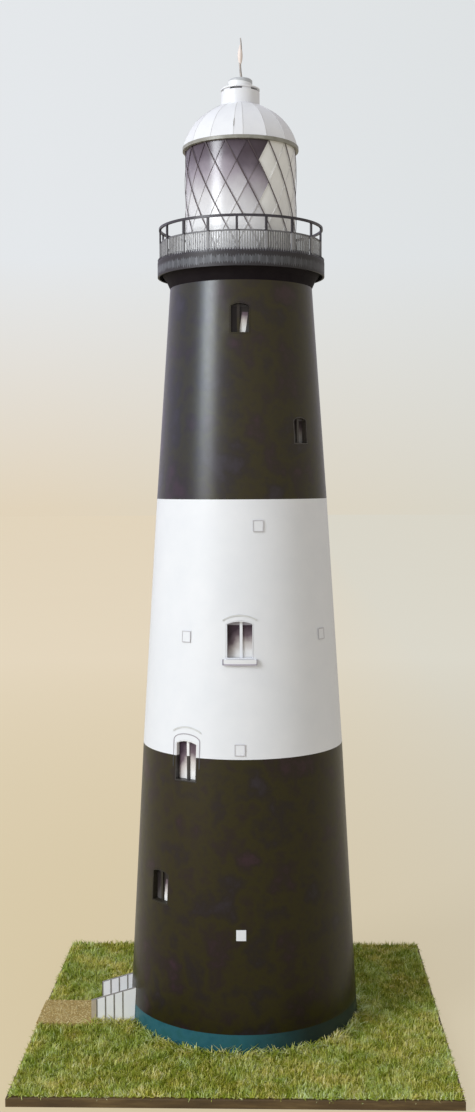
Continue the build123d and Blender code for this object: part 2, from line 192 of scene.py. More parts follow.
add(room, "ShaderNodeOutputWorld", {"Surface": mixed_light(room, seen, unseen, wall)})

window_side, window_rise, window_distance = -50.0, 24.0, 1.2  # degrees, degrees, metres
window_data = bpy.data.lights.new("window_lamp", "AREA")
window_data.shape = "RECTANGLE"
window_data.size = 0.38
window_data.size_y = 0.62
window_data.energy = 9.2
window_data.color = (0.925, 0.965, 1.0)
window = linked("window_lamp", window_data)
aim = Vector((0, 0, cad_box[1].z / 2))
side, rise = math.radians(window_side), math.radians(window_rise)
towards = Vector((math.sin(side) * math.cos(rise), -math.cos(side) * math.cos(rise), math.sin(rise)))
window.location = aim + towards * window_distance
window.rotation_mode = "QUATERNION"
window.rotation_quaternion = towards.to_track_quat("Z", "Y")
print("window lamp at", [round(v, 2) for v in window.location])

# %% [markdown]
# ## Material helpers
# Every finish starts from the Principled shader and from Object coordinates, in metres, so a noise
# scale of 1000 gives specks of about a millimetre. Small helpers cover most of the work: a noise, a
# colour ramp, a stored attribute, and a last step that plugs in the colour and a fine bump. Another
# turns a place on the tower into its azimuth, in degrees from the front, and its height in
# millimetres, because printed patterns follow those.
# %% Helpers for finishes


def finish_named(name, roughness, **values):
    """A new material and its tree; values are set on its Principled shader."""
    material = bpy.data.materials.new(name)
    material.use_nodes = True
    shader = material.node_tree.nodes["Principled BSDF"]
    shader.inputs["Roughness"].default_value = roughness
    for key, value in values.items():
        shader.inputs[key.replace("_", " ")].default_value = value
    return material, material.node_tree


def plug(material, label, value):
    """Links a socket to an input of the material's Principled shader."""
    tree = material.node_tree
    tree.links.new(value, tree.nodes["Principled BSDF"].inputs[label])


def place_of(tree):
    """Object coordinates."""
    return add(tree, "ShaderNodeTexCoord").outputs["Object"]


def stored(tree, label):
    """A number stored on the mesh."""
    return add(tree, "ShaderNodeAttribute", attribute_name=label).outputs["Fac"]


def noise(tree, scale, detail=3.0, stretch=None, roughness=0.6):
    """A noise from 0 to 1; stretch squeezes the pattern along each axis."""
    place = place_of(tree)
    if stretch:
        place = add(tree, "ShaderNodeMapping", {"Vector": place, "Scale": stretch}).outputs[0]
    inputs = {"Vector": place, "Scale": scale, "Detail": detail, "Roughness": roughness}
    return add(tree, "ShaderNodeTexNoise", inputs).outputs[0]


def ramp(tree, value, *stops):
    """A colour ramp through (position, colour) stops."""
    node = add(tree, "ShaderNodeValToRGB", {"Fac": value})
    elements = node.color_ramp.elements
    while len(elements) < len(stops):
        elements.new(0.5)
    for element, (position, colour) in zip(elements, stops):
        element.position = position
        element.color = (*colour, 1)
    return node.outputs[0]


def inked(material, ink, grain=None, depth=0.0):
    """Gives a material its colour and a bump of the given depth in millimetres."""
    plug(material, "Base Color", ink)
    if grain is not None:
        inputs = {"Height": grain, "Distance": depth * MM, "Strength": 1.0}
        plug(material, "Normal", add(material.node_tree, "ShaderNodeBump", inputs).outputs[0])
    return material


def around(tree):
    """Azimuth in degrees from the front, towards the right, and height in millimetres."""
    parts = axes(tree, place_of(tree))
    turned = calc(tree, "ARCTAN2", parts[0], calc(tree, "MULTIPLY", parts[1], -1.0))
    return calc(tree, "DEGREES", turned), calc(tree, "DIVIDE", parts[2], MM)


def rightness(tree, azimuth, low, high):
    """0 on the left of the tower and 1 on its right, with no jump at the back."""
    turned = calc(tree, "RADIANS", calc(tree, "SUBTRACT", azimuth, 75.0))
    return spread(tree, calc(tree, "COSINE", turned), low, high)


print("finish helpers ready")

# %% [markdown]
# ## A pale floor
# The floor is a wide disc just under the board. Seen from the camera it is lifted towards the wall's tone
# by a glow, so that the horizon is quiet, and it still takes the shadow of the model. The glow is painted
# light: darker and warmer near the model, paler far off.
# %% Floor


def lifted_floor():
    """Matt pale floor with faint mottling; the camera sees a painted glow on it, darker near the model and
    nearly as pale as the wall far off.
    """
    material, tree = finish_named("pale_floor", 0.5)
    tree.nodes.clear()
    place = place_of(tree)
    mottled = blend(tree, noise(tree, 6.0, 4.0, roughness=0.5), (0.74, 0.67, 0.53), (0.80, 0.73, 0.59))
    matt = add(tree, "ShaderNodeBsdfDiffuse", {"Color": mottled}).outputs[0]
    across = spread(tree, axes(tree, place)[0], -0.05, 0.12)
    # painted light: the glow is darker near the model and paler far away, and differs from left to right
    near = blend(tree, across, (0.70, 0.585, 0.372), (0.65, 0.585, 0.450))
    far = blend(tree, across, (0.840, 0.727, 0.552), (0.765, 0.740, 0.650))
    distance = add(tree, "ShaderNodeVectorMath", {0: place}, operation="LENGTH").outputs[1]
    tone = blend(tree, spread(tree, distance, 0.03, 0.7), near, far)
    glow = add(tree, "ShaderNodeEmission", {"Color": tone, "Strength": 1.0}).outputs[0]
    lift = calc(tree, "MULTIPLY", add(tree, "ShaderNodeLightPath").outputs["Is Camera Ray"], 0.82)
    add(tree, "ShaderNodeOutputMaterial", {"Surface": mixed_light(tree, lift, matt, glow)})
    return material


floor_radius, floor_drop = 5.0, 0.1 * MM
floor_shape = bmesh.new()
bmesh.ops.create_circle(floor_shape, cap_ends=True, segments=96, radius=floor_radius)
bmesh.ops.translate(floor_shape, verts=floor_shape.verts, vec=(0, 0, -floor_drop))
floor_mesh = bpy.data.meshes.new("pale_floor")
floor_shape.to_mesh(floor_mesh)
floor_shape.free()
floor_mesh.materials.append(lifted_floor())
linked("pale_floor", floor_mesh)
print("floor laid, radius", floor_radius, "m")

# %% [markdown]
# ## Printed card
# The tower, the dome and the stair are printed and varnished card. Ink drifts a little in tone,
# paper fibre shows as a very fine bump, and the varnish gives a satin gloss. The near-black ink
# leans to brown and olive, the white is the bare card, and the foot has a teal band. One flat
# colour would look like plastic, so one function makes every card, with its own inks and patches.
# %% Card finishes


def printed_card(name, *inks, patch=500.0, roughness=0.36, fibre=0.012, **values):
    """Varnished card whose ink drifts through the given colours."""
    material, tree = finish_named(name, roughness, **values)
    step = 1.0 / (len(inks) - 1)
    drifting = ramp(tree, noise(tree, patch, 5.0),
                    *((0.30 + 0.40 * i * step, ink) for i, ink in enumerate(inks)))
    sheen = spread(tree, noise(tree, 900.0, 2.0), 0.3, 0.7, roughness - 0.02, roughness + 0.03)
    plug(material, "Roughness", sheen)
    return inked(material, drifting, noise(tree, 2600.0, 4.0), fibre)


def varnish_and_painted_reflection(material, low_gloss, high_gloss):
    """Painted reflection: gloss tinted and weighted by place, thin and brown low on the right, full and
    cool high on the left.
    """
    tree = material.node_tree
    azimuth, level = around(tree)
    cool = blend(tree, spread(tree, level, 60.0, 150.0), (1.0, 0.85, 0.76), (0.86, 0.93, 1.0))
    tint = blend(tree, rightness(tree, azimuth, -0.26, 0.34), cool, (1.0, 0.90, 0.70))
    plug(material, "Specular Tint", tint)
    plug(material, "Specular IOR Level", spread(tree, level, 20.0, 150.0, low_gloss, high_gloss))


def painted_shade_right(material, ink):
    """Painted shade: lets a card's ink sink towards a darker one on the right of the tower, away from the
    lamp.
    """
    tree = material.node_tree
    printed = tree.nodes["Principled BSDF"].inputs["Base Color"].links[0].from_socket
    share = rightness(tree, around(tree)[0], 0.25, 0.75)
    plug(material, "Base Color", blend(tree, share, printed, ink))


black_card = printed_card(
    "black_card", (0.029, 0.013, 0.022), (0.014, 0.009, 0.009), (0.021, 0.018, 0.003),
    (0.012, 0.009, 0.009), (0.021, 0.017, 0.026), patch=110.0, roughness=0.31, fibre=0.002)
# painted reflection: the gloss's tint and strength follow the tower's side and height
varnish_and_painted_reflection(black_card, 0.30, 0.66)
teal_card = printed_card("teal_card", (0.014, 0.092, 0.118), (0.026, 0.122, 0.154), (0.018, 0.102, 0.108),
                         patch=260.0, roughness=0.40)
varnish_and_painted_reflection(teal_card, 0.22, 0.66)
# painted shade on the right side of the teal band
painted_shade_right(teal_card, (0.017, 0.034, 0.034))
# partly painted shade: the corbel's black card is made darker and matt, as the shade under the gallery
corbel_painted_shade = printed_card("corbel_painted_shade", (0.007, 0.0045, 0.007), (0.011, 0.008, 0.010),
                           patch=320.0, roughness=0.7, Specular_IOR_Level=0.12)
white_card = printed_card("white_card", (0.79, 0.81, 0.855), (0.83, 0.845, 0.885),
                          patch=120.0, roughness=0.42, fibre=0.010)
dome_card = printed_card("dome_card", (0.83, 0.84, 0.885), (0.87, 0.88, 0.915), patch=320.0, roughness=0.32)
door_card = printed_card("door_card", (0.012, 0.060, 0.070), (0.020, 0.080, 0.090), patch=400.0)
stair_card = printed_card("stair_card", (0.93, 0.93, 0.95), (0.97, 0.97, 0.98), patch=300.0, roughness=0.5)
stone_card = printed_card("stone_card", (0.52, 0.49, 0.44), (0.66, 0.63, 0.58))
edge_card = printed_card("edge_card", (0.46, 0.38, 0.28), (0.56, 0.48, 0.38), roughness=0.6)
rail_card = printed_card("rail_card", (0.125, 0.125, 0.135), (0.185, 0.185, 0.20), roughness=0.5)
dark_rail_card = printed_card("dark_rail_card", (0.030, 0.026, 0.034), (0.052, 0.046, 0.056))
eave_card = printed_card("eave_card", (0.24, 0.235, 0.20), (0.34, 0.335, 0.30))
leaf_finish = printed_card("leaf_paper", (0.86, 0.74, 0.69), (0.90, 0.80, 0.76), roughness=0.6)
# painted shade: near black for the plug behind the ventilator's slots
throat_shade_finish = printed_card("throat_painted_shade", (0.030, 0.028, 0.032), (0.05, 0.048, 0.055))
# dark joint print on the stair walls, also used as painted shade in the dome's slit
joint_ink_and_gap_shade = printed_card("joint_ink_and_gap_shade", (0.17, 0.155, 0.135), (0.25, 0.23, 0.20), patch=600.0)
hood_ink = printed_card("hood_ink", (0.60, 0.61, 0.61), (0.68, 0.69, 0.69), patch=700.0)
line_ink = printed_card("line_ink", (0.48, 0.47, 0.50), (0.62, 0.61, 0.64), patch=900.0)
seam_ink = printed_card("seam_ink", (0.52, 0.52, 0.53), (0.70, 0.70, 0.71))
sunk_frame = printed_card("sunk_frame", (0.034, 0.029, 0.019), (0.042, 0.036, 0.025),
                          roughness=0.6, Specular_IOR_Level=0.2)
# painted light: the black frame of the window on the shaded right is made lighter than the black card, so
# its shaded recess reads like the wall
shade_lifted_frame = printed_card("shade_lifted_frame", (0.058, 0.050, 0.044), (0.075, 0.066, 0.056))
print("card finishes:", len(bpy.data.materials))

# %% [markdown]
# ## Pieces printed in several tones, and pickets with painted light and shade
# One window sits across the join of the white and the black band. Its card frame is printed in both
# colours, white above the line and black below. It could be cut in two, but a finish that switches on
# height keeps it whole. The rail posts work the same way: dark where they stand free, grey between the
# pickets. The sills are greyer along the foot of their front and darker at their ends, and the pickets'
# grey follows the azimuth as painted light and shade: pale at the lit front left, darker towards the shaded
# right and round the sides.
# %% Frames, posts, sills and pickets


def split_card(name, roughness, level, below, above, grain=None):
    """One ink below a level and another above it; grain is the bump's scale and detail."""
    material, tree = finish_named(name, roughness)
    over = calc(tree, "GREATER_THAN", around(tree)[1], level / MM)
    return inked(material, blend(tree, over, below, above), grain and noise(tree, *grain), 0.01)


def sill_card():
    """White card, greyer along the foot of each sill's front and darker at its ends."""
    material, tree = finish_named("sill_card", 0.42)
    parts = axes(tree, place_of(tree))
    low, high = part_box("window_sills")
    front = calc(tree, "LESS_THAN", parts[1], 0.0)
    foot = calc(tree, "LESS_THAN", calc(tree, "SUBTRACT", parts[2], low.z), 0.32 * MM)
    end = calc(tree, "GREATER_THAN", calc(tree, "ABSOLUTE", parts[0]), high.x - 0.22 * MM)
    ink = (0.82, 0.83, 0.86)
    for mark, mark_ink in ((foot, (0.44, 0.41, 0.50)), (end, (0.24, 0.22, 0.28))):
        ink = blend(tree, calc(tree, "MULTIPLY", mark, front), ink, mark_ink)
    return inked(material, ink, noise(tree, 2600.0, 4.0), 0.01)


def picket_painted_light():
    """Pickets with painted light and shade: pale at the lit front left, darker towards the shaded right and
    round the sides.
    """
    material, tree = finish_named("picket_light_and_shade", 0.5)
    azimuth, _ = around(tree)
    side = calc(tree, "SINE", calc(tree, "RADIANS", azimuth))
    # painted light and shade: the grey follows the azimuth, pale at the front left and dark towards the
    # right and the sides
    near = blend(tree, spread(tree, side, -0.50, 0.32), (0.66, 0.67, 0.69), (0.20, 0.20, 0.20))
    far = blend(tree, spread(tree, side, -0.30, 0.30), (0.36, 0.36, 0.375), (0.36, 0.36, 0.36))
    ink = blend(tree, spread(tree, calc(tree, "ABSOLUTE", azimuth), 38.0, 58.0), near, far)
    worn = spread(tree, noise(tree, 500.0), 0.3, 0.7, 0.0, 0.35)
    return inked(material, blend(tree, worn, ink, (0.16, 0.16, 0.17)), noise(tree, 2200.0), 0.01)


line_frame = split_card("two_tone_frame", 0.42, lower_top, (0.034, 0.030, 0.026), (0.84, 0.84, 0.86),
                        (2600.0, 4.0))
rail_posts = split_card("post_card", 0.5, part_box("gallery_mid_rail")[0].z, (0.27, 0.27, 0.285),
                        (0.040, 0.036, 0.044), (2200.0, 3.0))
arch_ink = split_card("arch_ink", 0.4, lower_top, (0.040, 0.042, 0.052), (0.36, 0.34, 0.38))
sill_finish = sill_card()
picket_light_and_shade = picket_painted_light()
print("two-tone finishes ready")

# %% [markdown]
# ## Lantern glazing
# The lantern is a drum of printed glazing. Two families of bars wind round it, and the panes
# between them run from a dark plum grey at the top to white at the deck. On the other half of the
# drum the panes are blank. The paler bars are printed almost like the panes behind them. The panes
# could be cut one by one, but the print follows the bars, so each place gets two lane numbers, one
# for each family: panes in one column share the sum of the two, and the sum picks the half.
# %% Lantern print
bar_count, bar_twist = 16, 2.3  # degrees to the millimetre
left_start, right_start = 2.8, 13.3  # degrees
dark_columns = 16


def lantern_glazing(name, gloss, darken=0.0):
    """Diamond panes that darken towards the eave on one half of the drum."""
    material, tree = finish_named(name, 0.25, Specular_IOR_Level=gloss)
    azimuth, level = around(tree)
    height = calc(tree, "SUBTRACT", level, deck_top / MM)
    wound = calc(tree, "MULTIPLY", height, bar_twist)
    lanes = []
    for operation, start in (("ADD", left_start), ("SUBTRACT", right_start)):
        lane = calc(tree, "SUBTRACT", calc(tree, operation, azimuth, wound), start)
        lanes.append(calc(tree, "FLOOR", calc(tree, "DIVIDE", lane, 360.0 / bar_count)))
    column = calc(tree, "ADD", calc(tree, "ADD", *lanes), dark_columns - 0.5)
    turn = calc(tree, "FLOORED_MODULO", column, 2.0 * bar_count)
    shaded = calc(tree, "LESS_THAN", turn, float(dark_columns))
    last = calc(tree, "GREATER_THAN", turn, dark_columns - 2.0)
    share = calc(tree, "DIVIDE", height, lantern_height / MM)
    share = calc(tree, "ADD", share, calc(tree, "MULTIPLY", last, 0.10))
    share = calc(tree, "ADD", share, spread(tree, noise(tree, 160.0), 0.2, 0.8, -0.05, 0.05))
    fading = ramp(
        tree, share,
        (0.34, (0.88, 0.88, 0.90)), (0.55, (0.66, 0.65, 0.68)), (0.74, (0.34, 0.30, 0.35)),
        (0.88, (0.125, 0.100, 0.125)), (1.00, (0.055, 0.036, 0.048)),
    )
    blank = ramp(tree, noise(tree, 200.0), (0.3, (0.86, 0.86, 0.85)), (0.7, (0.94, 0.94, 0.93)))
    ink = blend(tree, darken, blend(tree, shaded, blank, fading), (0.055, 0.040, 0.050))
    return inked(material, ink, noise(tree, 1500.0), 0.006)


def fading_bar():
    """Dark bar ink that pales away towards the deck."""
    material, tree = finish_named("dark_bar", 0.45)
    height = calc(tree, "SUBTRACT", around(tree)[1], deck_top / MM)
    faded = spread(tree, calc(tree, "ADD", height, noise(tree, 300.0)), 5.5, 9.0, 1.0, 0.0)
    ink = blend(tree, faded, (0.085, 0.062, 0.068), (0.54, 0.52, 0.54))
    return inked(material, ink, noise(tree, 1500.0), 0.006)


glazing = lantern_glazing("lantern_glazing", 0.65)
pale_bar = lantern_glazing("pale_bar", 0.45, darken=0.04)
dark_bar = fading_bar()
print("lantern print with", bar_count, "bars each way")

# %% [markdown]
# ## The gallery's fascia print
# The strip below the railing is printed grey-blue, with faint upright marks, a dark band under the railing
# and a dark saw-toothed line along its foot. Print has no thickness, so it is drawn in the finish: azimuth
# gives the teeth, height the zones. Azimuth also darkens the strip towards the right of the tower as
# painted shade.
# %% Fascia print
bay_count, pickets_a_bay = 18, 10
tooth_count = bay_count * (pickets_a_bay + 1)
picket_pitch = 360.0 / tooth_count
fascia_low, fascia_high = (v.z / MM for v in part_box("gallery_fascia"))


def fascia_print_and_shade():
    """Grey-blue strip between two dark toothed edges, darkened towards the right as painted shade."""
    material, tree = finish_named("fascia_print_and_shade", 0.5)
    azimuth, level = around(tree)
    teeth, marks = (calc(tree, "PINGPONG", calc(tree, "DIVIDE", azimuth, pitch), 0.5)
                    for pitch in (picket_pitch, 5.3))
    patches = spread(tree, noise(tree, 300.0), 0.35, 0.65, 0.1, 0.8)
    marks = calc(tree, "MULTIPLY", spread(tree, marks, 0.30, 0.42), patches)
    body = ramp(tree, noise(tree, 420.0), (0.3, (0.060, 0.063, 0.072)), (0.7, (0.100, 0.105, 0.118)))
    body = blend(tree, marks, body, (0.18, 0.185, 0.21))
    # painted shade: the body sinks towards near black on the right of the tower, away from the lamp
    shade = calc(tree, "MULTIPLY", rightness(tree, azimuth, 0.0, 0.95), 0.55)
    body = blend(tree, shade, body, (0.030, 0.028, 0.030))
    level = calc(tree, "ADD", level, spread(tree, noise(tree, 700.0, 4.0), 0.3, 0.7, -0.35, 0.35))
    top_line = calc(tree, "SUBTRACT", fascia_high - 0.70, calc(tree, "MULTIPLY", teeth, 1.2))
    foot_line = calc(tree, "ADD", fascia_low + 0.35, calc(tree, "MULTIPLY", teeth, 1.4))
    dark = calc(tree, "MAXIMUM", calc(tree, "GREATER_THAN", level, top_line),
                calc(tree, "LESS_THAN", level, foot_line))
    return inked(material, blend(tree, dark, body, (0.024, 0.021, 0.024)), noise(tree, 2200.0, 4.0), 0.012)


fascia_card = fascia_print_and_shade()
print("fascia from", round(fascia_low, 1), "to", round(fascia_high, 1), "mm")

# %% [markdown]
# ## Board, path, wire and cap
# The board is dark brown paint over wood with rubbed edges. The path is sanded tan grit. The finial is a
# copper-grey wire. The ventilator's cap is white card, with painted shade in grey over its top and lower
# down on its right. On paint, sand and flock one noise drives colour and bump together, as wear darkens
# what it hollows.
# %% Finishes of the ground and the finial


def worn_by(name, roughness, grain_scale, detail, stops, depth, stretch=None, **values):
    """A finish whose colour and bump both follow one noise."""
    material, tree = finish_named(name, roughness, **values)
    grain = noise(tree, grain_scale, detail, stretch)
    return inked(material, ramp(tree, grain, *stops), grain if depth else None, depth)


def path_sand():
    """Tan sand with darker and paler grains."""
    material, tree = finish_named("path_sand", 0.85)
    grains = noise(tree, 1300.0, 4.0)
    sand = ramp(tree, grains, (0.25, (0.38, 0.26, 0.080)), (0.50, (0.50, 0.365, 0.130)),
                (0.75, (0.62, 0.50, 0.24)))
    patches = spread(tree, noise(tree, 140.0), 0.35, 0.65)
    return inked(material, blend(tree, patches, sand, (0.43, 0.30, 0.095)), grains, 0.15)


def cap_painted_shade():
    """White card cap, painted grey as shade over its top and lower down on the right."""
    material, tree = finish_named("cap_painted_shade", 0.42)
    parts = axes(tree, place_of(tree))
    # painted shade: the grey starts lower on the right side of the cap
    level = calc(tree, "ADD", parts[2], calc(tree, "MULTIPLY", parts[0], 0.12))
    shaded_top = calc(tree, "GREATER_THAN", level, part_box("ventilator_cap")[1].z - 0.80 * MM)
    shade_grey = ramp(tree, noise(tree, 500.0), (0.3, (0.46, 0.48, 0.51)), (0.7, (0.56, 0.58, 0.61)))
    return inked(material, blend(tree, shaded_top, (0.86, 0.87, 0.89), shade_grey), noise(tree, 2600.0, 4.0), 0.01)


board_finish = worn_by("board_paint", 0.62, 90.0, 6.0, (
    (0.25, (0.045, 0.024, 0.006)), (0.55, (0.095, 0.056, 0.016)), (0.80, (0.190, 0.125, 0.045))),
    0.06, stretch=(1.0, 9.0, 9.0))
wire_finish = worn_by("copper_wire", 0.5, 420.0, 3.0, (
    (0.35, (0.34, 0.32, 0.31)), (0.65, (0.44, 0.39, 0.35))), 0.0, Metallic=0.3)
turf_finish = worn_by("turf_bed", 0.9, 900.0, 5.0, (
    (0.3, (0.20, 0.20, 0.020)), (0.7, (0.40, 0.39, 0.060))), 0.25)
sand_finish = path_sand()
cap_finish = cap_painted_shade()
print("ground and finial finishes ready")

# %% [markdown]
# ## Give every carried-over node its finish
# A node from the model keeps its shape; only its material slot changes. The table reads like a
# parts list, and a name that is missing would stop the script.
# %% Dress the nodes
finishes = {
    board_finish: ["baseboard"],
    sand_finish: ["gravel_path"],
    teal_card: ["plinth_band"],
    black_card: ["tower_lower", "tower_upper", "window_frame_upper_front",
                 "window_frame_lower_back", "window_frame_upper_back"],
    corbel_painted_shade: ["gallery_corbel"],
    white_card: ["tower_middle", "window_frame_middle_front", "window_frame_middle_back",
                 "vent_plates", "entrance_frame"],
    stair_card: ["stair_wall_near", "stair_wall_far"],
    line_frame: ["window_frame_band_line"],
    shade_lifted_frame: ["window_frame_upper_right"],
    sunk_frame: ["window_frame_lower_left"],
    sill_finish: ["window_sills"],
    hood_ink: ["window_hoods"],
    door_card: ["entrance_door"],
    stone_card: ["stair_flight"],
    fascia_card: ["gallery_fascia"],
    rail_card: ["gallery_mid_rail", "gallery_bottom_rail"],
    dark_rail_card: ["gallery_handrail", "gallery_deck"],
    rail_posts: ["gallery_posts"],
    picket_light_and_shade: ["gallery_pickets"],
    glazing: ["lantern_drum"],
    dark_bar: ["lantern_bars_left"],
    pale_bar: ["lantern_bars_right"],
    eave_card: ["lantern_eave"],
    dome_card: ["dome", "ventilator_drum", "ventilator_collar", "ventilator_neck"],
    cap_finish: ["ventilator_cap"],
}
for finish_material, names in finishes.items():
    for name in names:
        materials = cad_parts[name].data.materials
        materials.clear()
        materials.append(finish_material)
print("dressed", sum(len(names) for names in finishes.values()), "nodes")

# %% [markdown]
# ## Pieces that the model leaves to this file
# A piece is a plain mesh at the origin that rides on the body. These helpers link it, close its skin
# between rows of corners, point its faces outwards, and find a place round the tower. A last one gives a
# copy of a node with its loose corners merged.
# %% Helpers for new pieces


def add_piece(name, mesh, slot_name, *replaced):
    """Links a mesh as a piece of the root body and hides the nodes that it stands for."""
    piece = linked(name, mesh)
    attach(piece, "root")
    if replaced:
        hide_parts(*replaced)
    return piece


def mesh_from(name, shape, material=None):
    """Turns a bmesh into a mesh with its faces pointing outwards."""
    bmesh.ops.recalc_face_normals(shape, faces=shape.faces)
    mesh = bpy.data.meshes.new(name)
    shape.to_mesh(mesh)
    shape.free()
    if material:
        mesh.materials.append(material)
    return mesh


def skin(shape, rows, closed=True):
    """Faces between rows of corners; closed also joins the last corner of a row to its first."""
    spans = len(rows[0]) if closed else len(rows[0]) - 1
    for low, high in zip(rows, rows[1:]):
        for i in range(spans):
            j = (i + 1) % len(low)
            shape.faces.new((low[i], low[j], high[j], high[i]))


def tube(shape, rings):
    """A closed skin over rings of corners, with a face on each end."""
    skin(shape, rings)
    shape.faces.new(reversed(rings[0]))
    shape.faces.new(rings[-1])


def plate_mesh(name, corners, depth, outward):
    """A thin plate whose back has the given corners."""
    shape = bmesh.new()
    tube(shape, [[shape.verts.new(corner + outward * rise) for corner in corners] for rise in (0, depth)])
    return mesh_from(name, shape)


def round_tower(reach, angle, level):
    """The place at a reach from the axis and an angle in radians from the front."""
    return reach * math.sin(angle), -reach * math.cos(angle), level


def merged_copy(node):
    """A bmesh copy of a node with its doubled corners merged."""
    shape = bmesh.new()
    shape.from_mesh(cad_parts[node].data)
    bmesh.ops.remove_doubles(shape, verts=shape.verts, dist=0.002 * MM)
    return shape


print("piece helpers ready")

# %% [markdown]
# ## Geometry Nodes, two small machines
# What repeats is laid out by Geometry Nodes. A turntable copies one piece round the tower, and a
# scatter sows it over the upward faces of a carrier. Each tree has named inputs and ends in
# Realize Instances and Set Material; the result becomes a plain mesh.
# %% Build and run the trees


def new_tree(name, **inputs):
    """A geometry tree with a carrier input and the given named inputs."""
    tree = bpy.data.node_groups.new(name, "GeometryNodeTree")
    tree.interface.new_socket("Carrier", in_out="INPUT", socket_type="NodeSocketGeometry")
    tree.interface.new_socket("Result", in_out="OUTPUT", socket_type="NodeSocketGeometry")
    for label, kind in inputs.items():
        tree.interface.new_socket(label, in_out="INPUT", socket_type="NodeSocket" + kind)
    return tree, add(tree, "NodeGroupInput").outputs


def placed(tree, given, points, turn, **values):
    """Copies of the piece on points."""
    stamp = add(tree, "GeometryNodeObjectInfo", {"Object": given["Piece"]}).outputs["Geometry"]
    inputs = {"Points": points, "Instance": stamp, "Rotation": turn, **values}
    return add(tree, "GeometryNodeInstanceOnPoints", inputs).outputs[0]


def close_tree(tree, given, instances):
    """Realizes the instances, sets the material and plugs in the output."""
    real = add(tree, "GeometryNodeRealizeInstances", {0: instances}).outputs[0]
    painted = add(tree, "GeometryNodeSetMaterial", {"Geometry": real, "Material": given["Material"]})
    add(tree, "NodeGroupOutput", {0: painted.outputs[0]})
    return tree


def turntable_tree():
    """Copies of one piece, turned about the tower's axis by even steps in degrees."""
    tree, given = new_tree("turntable", Piece="Object", Copies="Int", Start="Float", Pitch="Float",
                           Material="Material")
    inputs = {"Count": given["Copies"], "Offset": (0, 0, 0)}
    points = add(tree, "GeometryNodeMeshLine", inputs).outputs[0]
    index = add(tree, "GeometryNodeInputIndex").outputs[0]
    angle = calc(tree, "MULTIPLY_ADD", index, given["Pitch"], given["Start"])
    turn = add(tree, "ShaderNodeCombineXYZ", {"Z": calc(tree, "RADIANS", angle)}).outputs[0]
    return close_tree(tree, given, placed(tree, given, points, turn))


def scatter_tree():
    """Copies of one piece sown over the carrier's upward faces, each with its own tone and lean."""
    tree, given = new_tree("scatter", Piece="Object", Density="Float", Smallest="Float",
                           Largest="Float", Lean="Float", Seed="Int", Material="Material")
    upward = axes(tree, add(tree, "GeometryNodeInputNormal").outputs[0])[2]
    inputs = {"Mesh": given["Carrier"], "Selection": calc(tree, "GREATER_THAN", upward, 0.6),
              "Density": given["Density"], "Seed": given["Seed"]}
    points = add(tree, "GeometryNodeDistributePointsOnFaces", inputs).outputs[0]
    draws = []
    full_turn = 2 * math.pi
    for extra, low, high in ((1, 0.0, 1.0), (2, given["Smallest"], given["Largest"]),
                             (3, 0.0, given["Lean"]), (4, 0.0, full_turn)):
        seed = calc(tree, "ADD", given["Seed"], float(extra))
        draws.append(add(tree, "FunctionNodeRandomValue", {2: low, 3: high, 8: seed}).outputs[1])
    tone, size, lean, heading = draws
    tuft = add(tree, "ShaderNodeTexNoise", {"Scale": 380.0, "Detail": 2.0}).outputs[0]
    heading = calc(tree, "MULTIPLY_ADD", heading, 0.35, calc(tree, "MULTIPLY", tuft, 4.0 * full_turn))
    turn = add(tree, "ShaderNodeCombineXYZ", {"X": lean, "Z": heading}).outputs[0]
    inputs = {"Geometry": placed(tree, given, points, turn, Scale=size), "Name": "tone", "Value": tone}
    toned = add(tree, "GeometryNodeStoreNamedAttribute", inputs, domain="INSTANCE").outputs[0]
    return close_tree(tree, given, toned)


def plain_mesh(name, thing):
    """The evaluated mesh of an object, as a plain mesh with a name."""
    depsgraph = bpy.context.evaluated_depsgraph_get()
    mesh = bpy.data.meshes.new_from_object(
        thing.evaluated_get(depsgraph), preserve_all_data_layers=True, depsgraph=depsgraph)
    mesh.name = name
    return mesh


def run_tree(tree, name, stamp, carrier=None, **values):
    """Runs a tree on a carrier mesh, with stamp as the piece to copy, and returns a plain mesh."""
    worker = linked(name + "_worker", carrier or bpy.data.meshes.new(name))
    values["Piece"] = linked(name + "_stamp", stamp)
    modifier = worker.modifiers.new("nodes", "NODES")
    modifier.node_group = tree
    for item in tree.interface.items_tree:
        if item.in_out == "INPUT" and item.name in values:
            modifier[item.identifier] = values[item.name]
    mesh = plain_mesh(name, worker)
    worker.modifiers.clear()
    for helper in (worker, values["Piece"]):
        bpy.data.objects.remove(helper)
    return mesh


turntable, scatter = turntable_tree(), scatter_tree()
print("two trees built")

# %% [markdown]
# ## Static grass
# The flock is a thin brown-green bed with thousands of short nylon fibres standing in it. The bed is the
# model's slab, pressed down to its roots. Two kinds of fibre are sown on it: short straight ones that close
# the ground, and longer bent ones whose pale tips catch the light. Every fibre is darkened towards its root
# as painted shade in the bed. Two more sowings thicken the foot of the tower and hang over the board's
# edges. Hair would look alike, but it isn't a mesh, so each fibre is a three-sided spike, and many
# thousands stay light.
# %% Grass finish


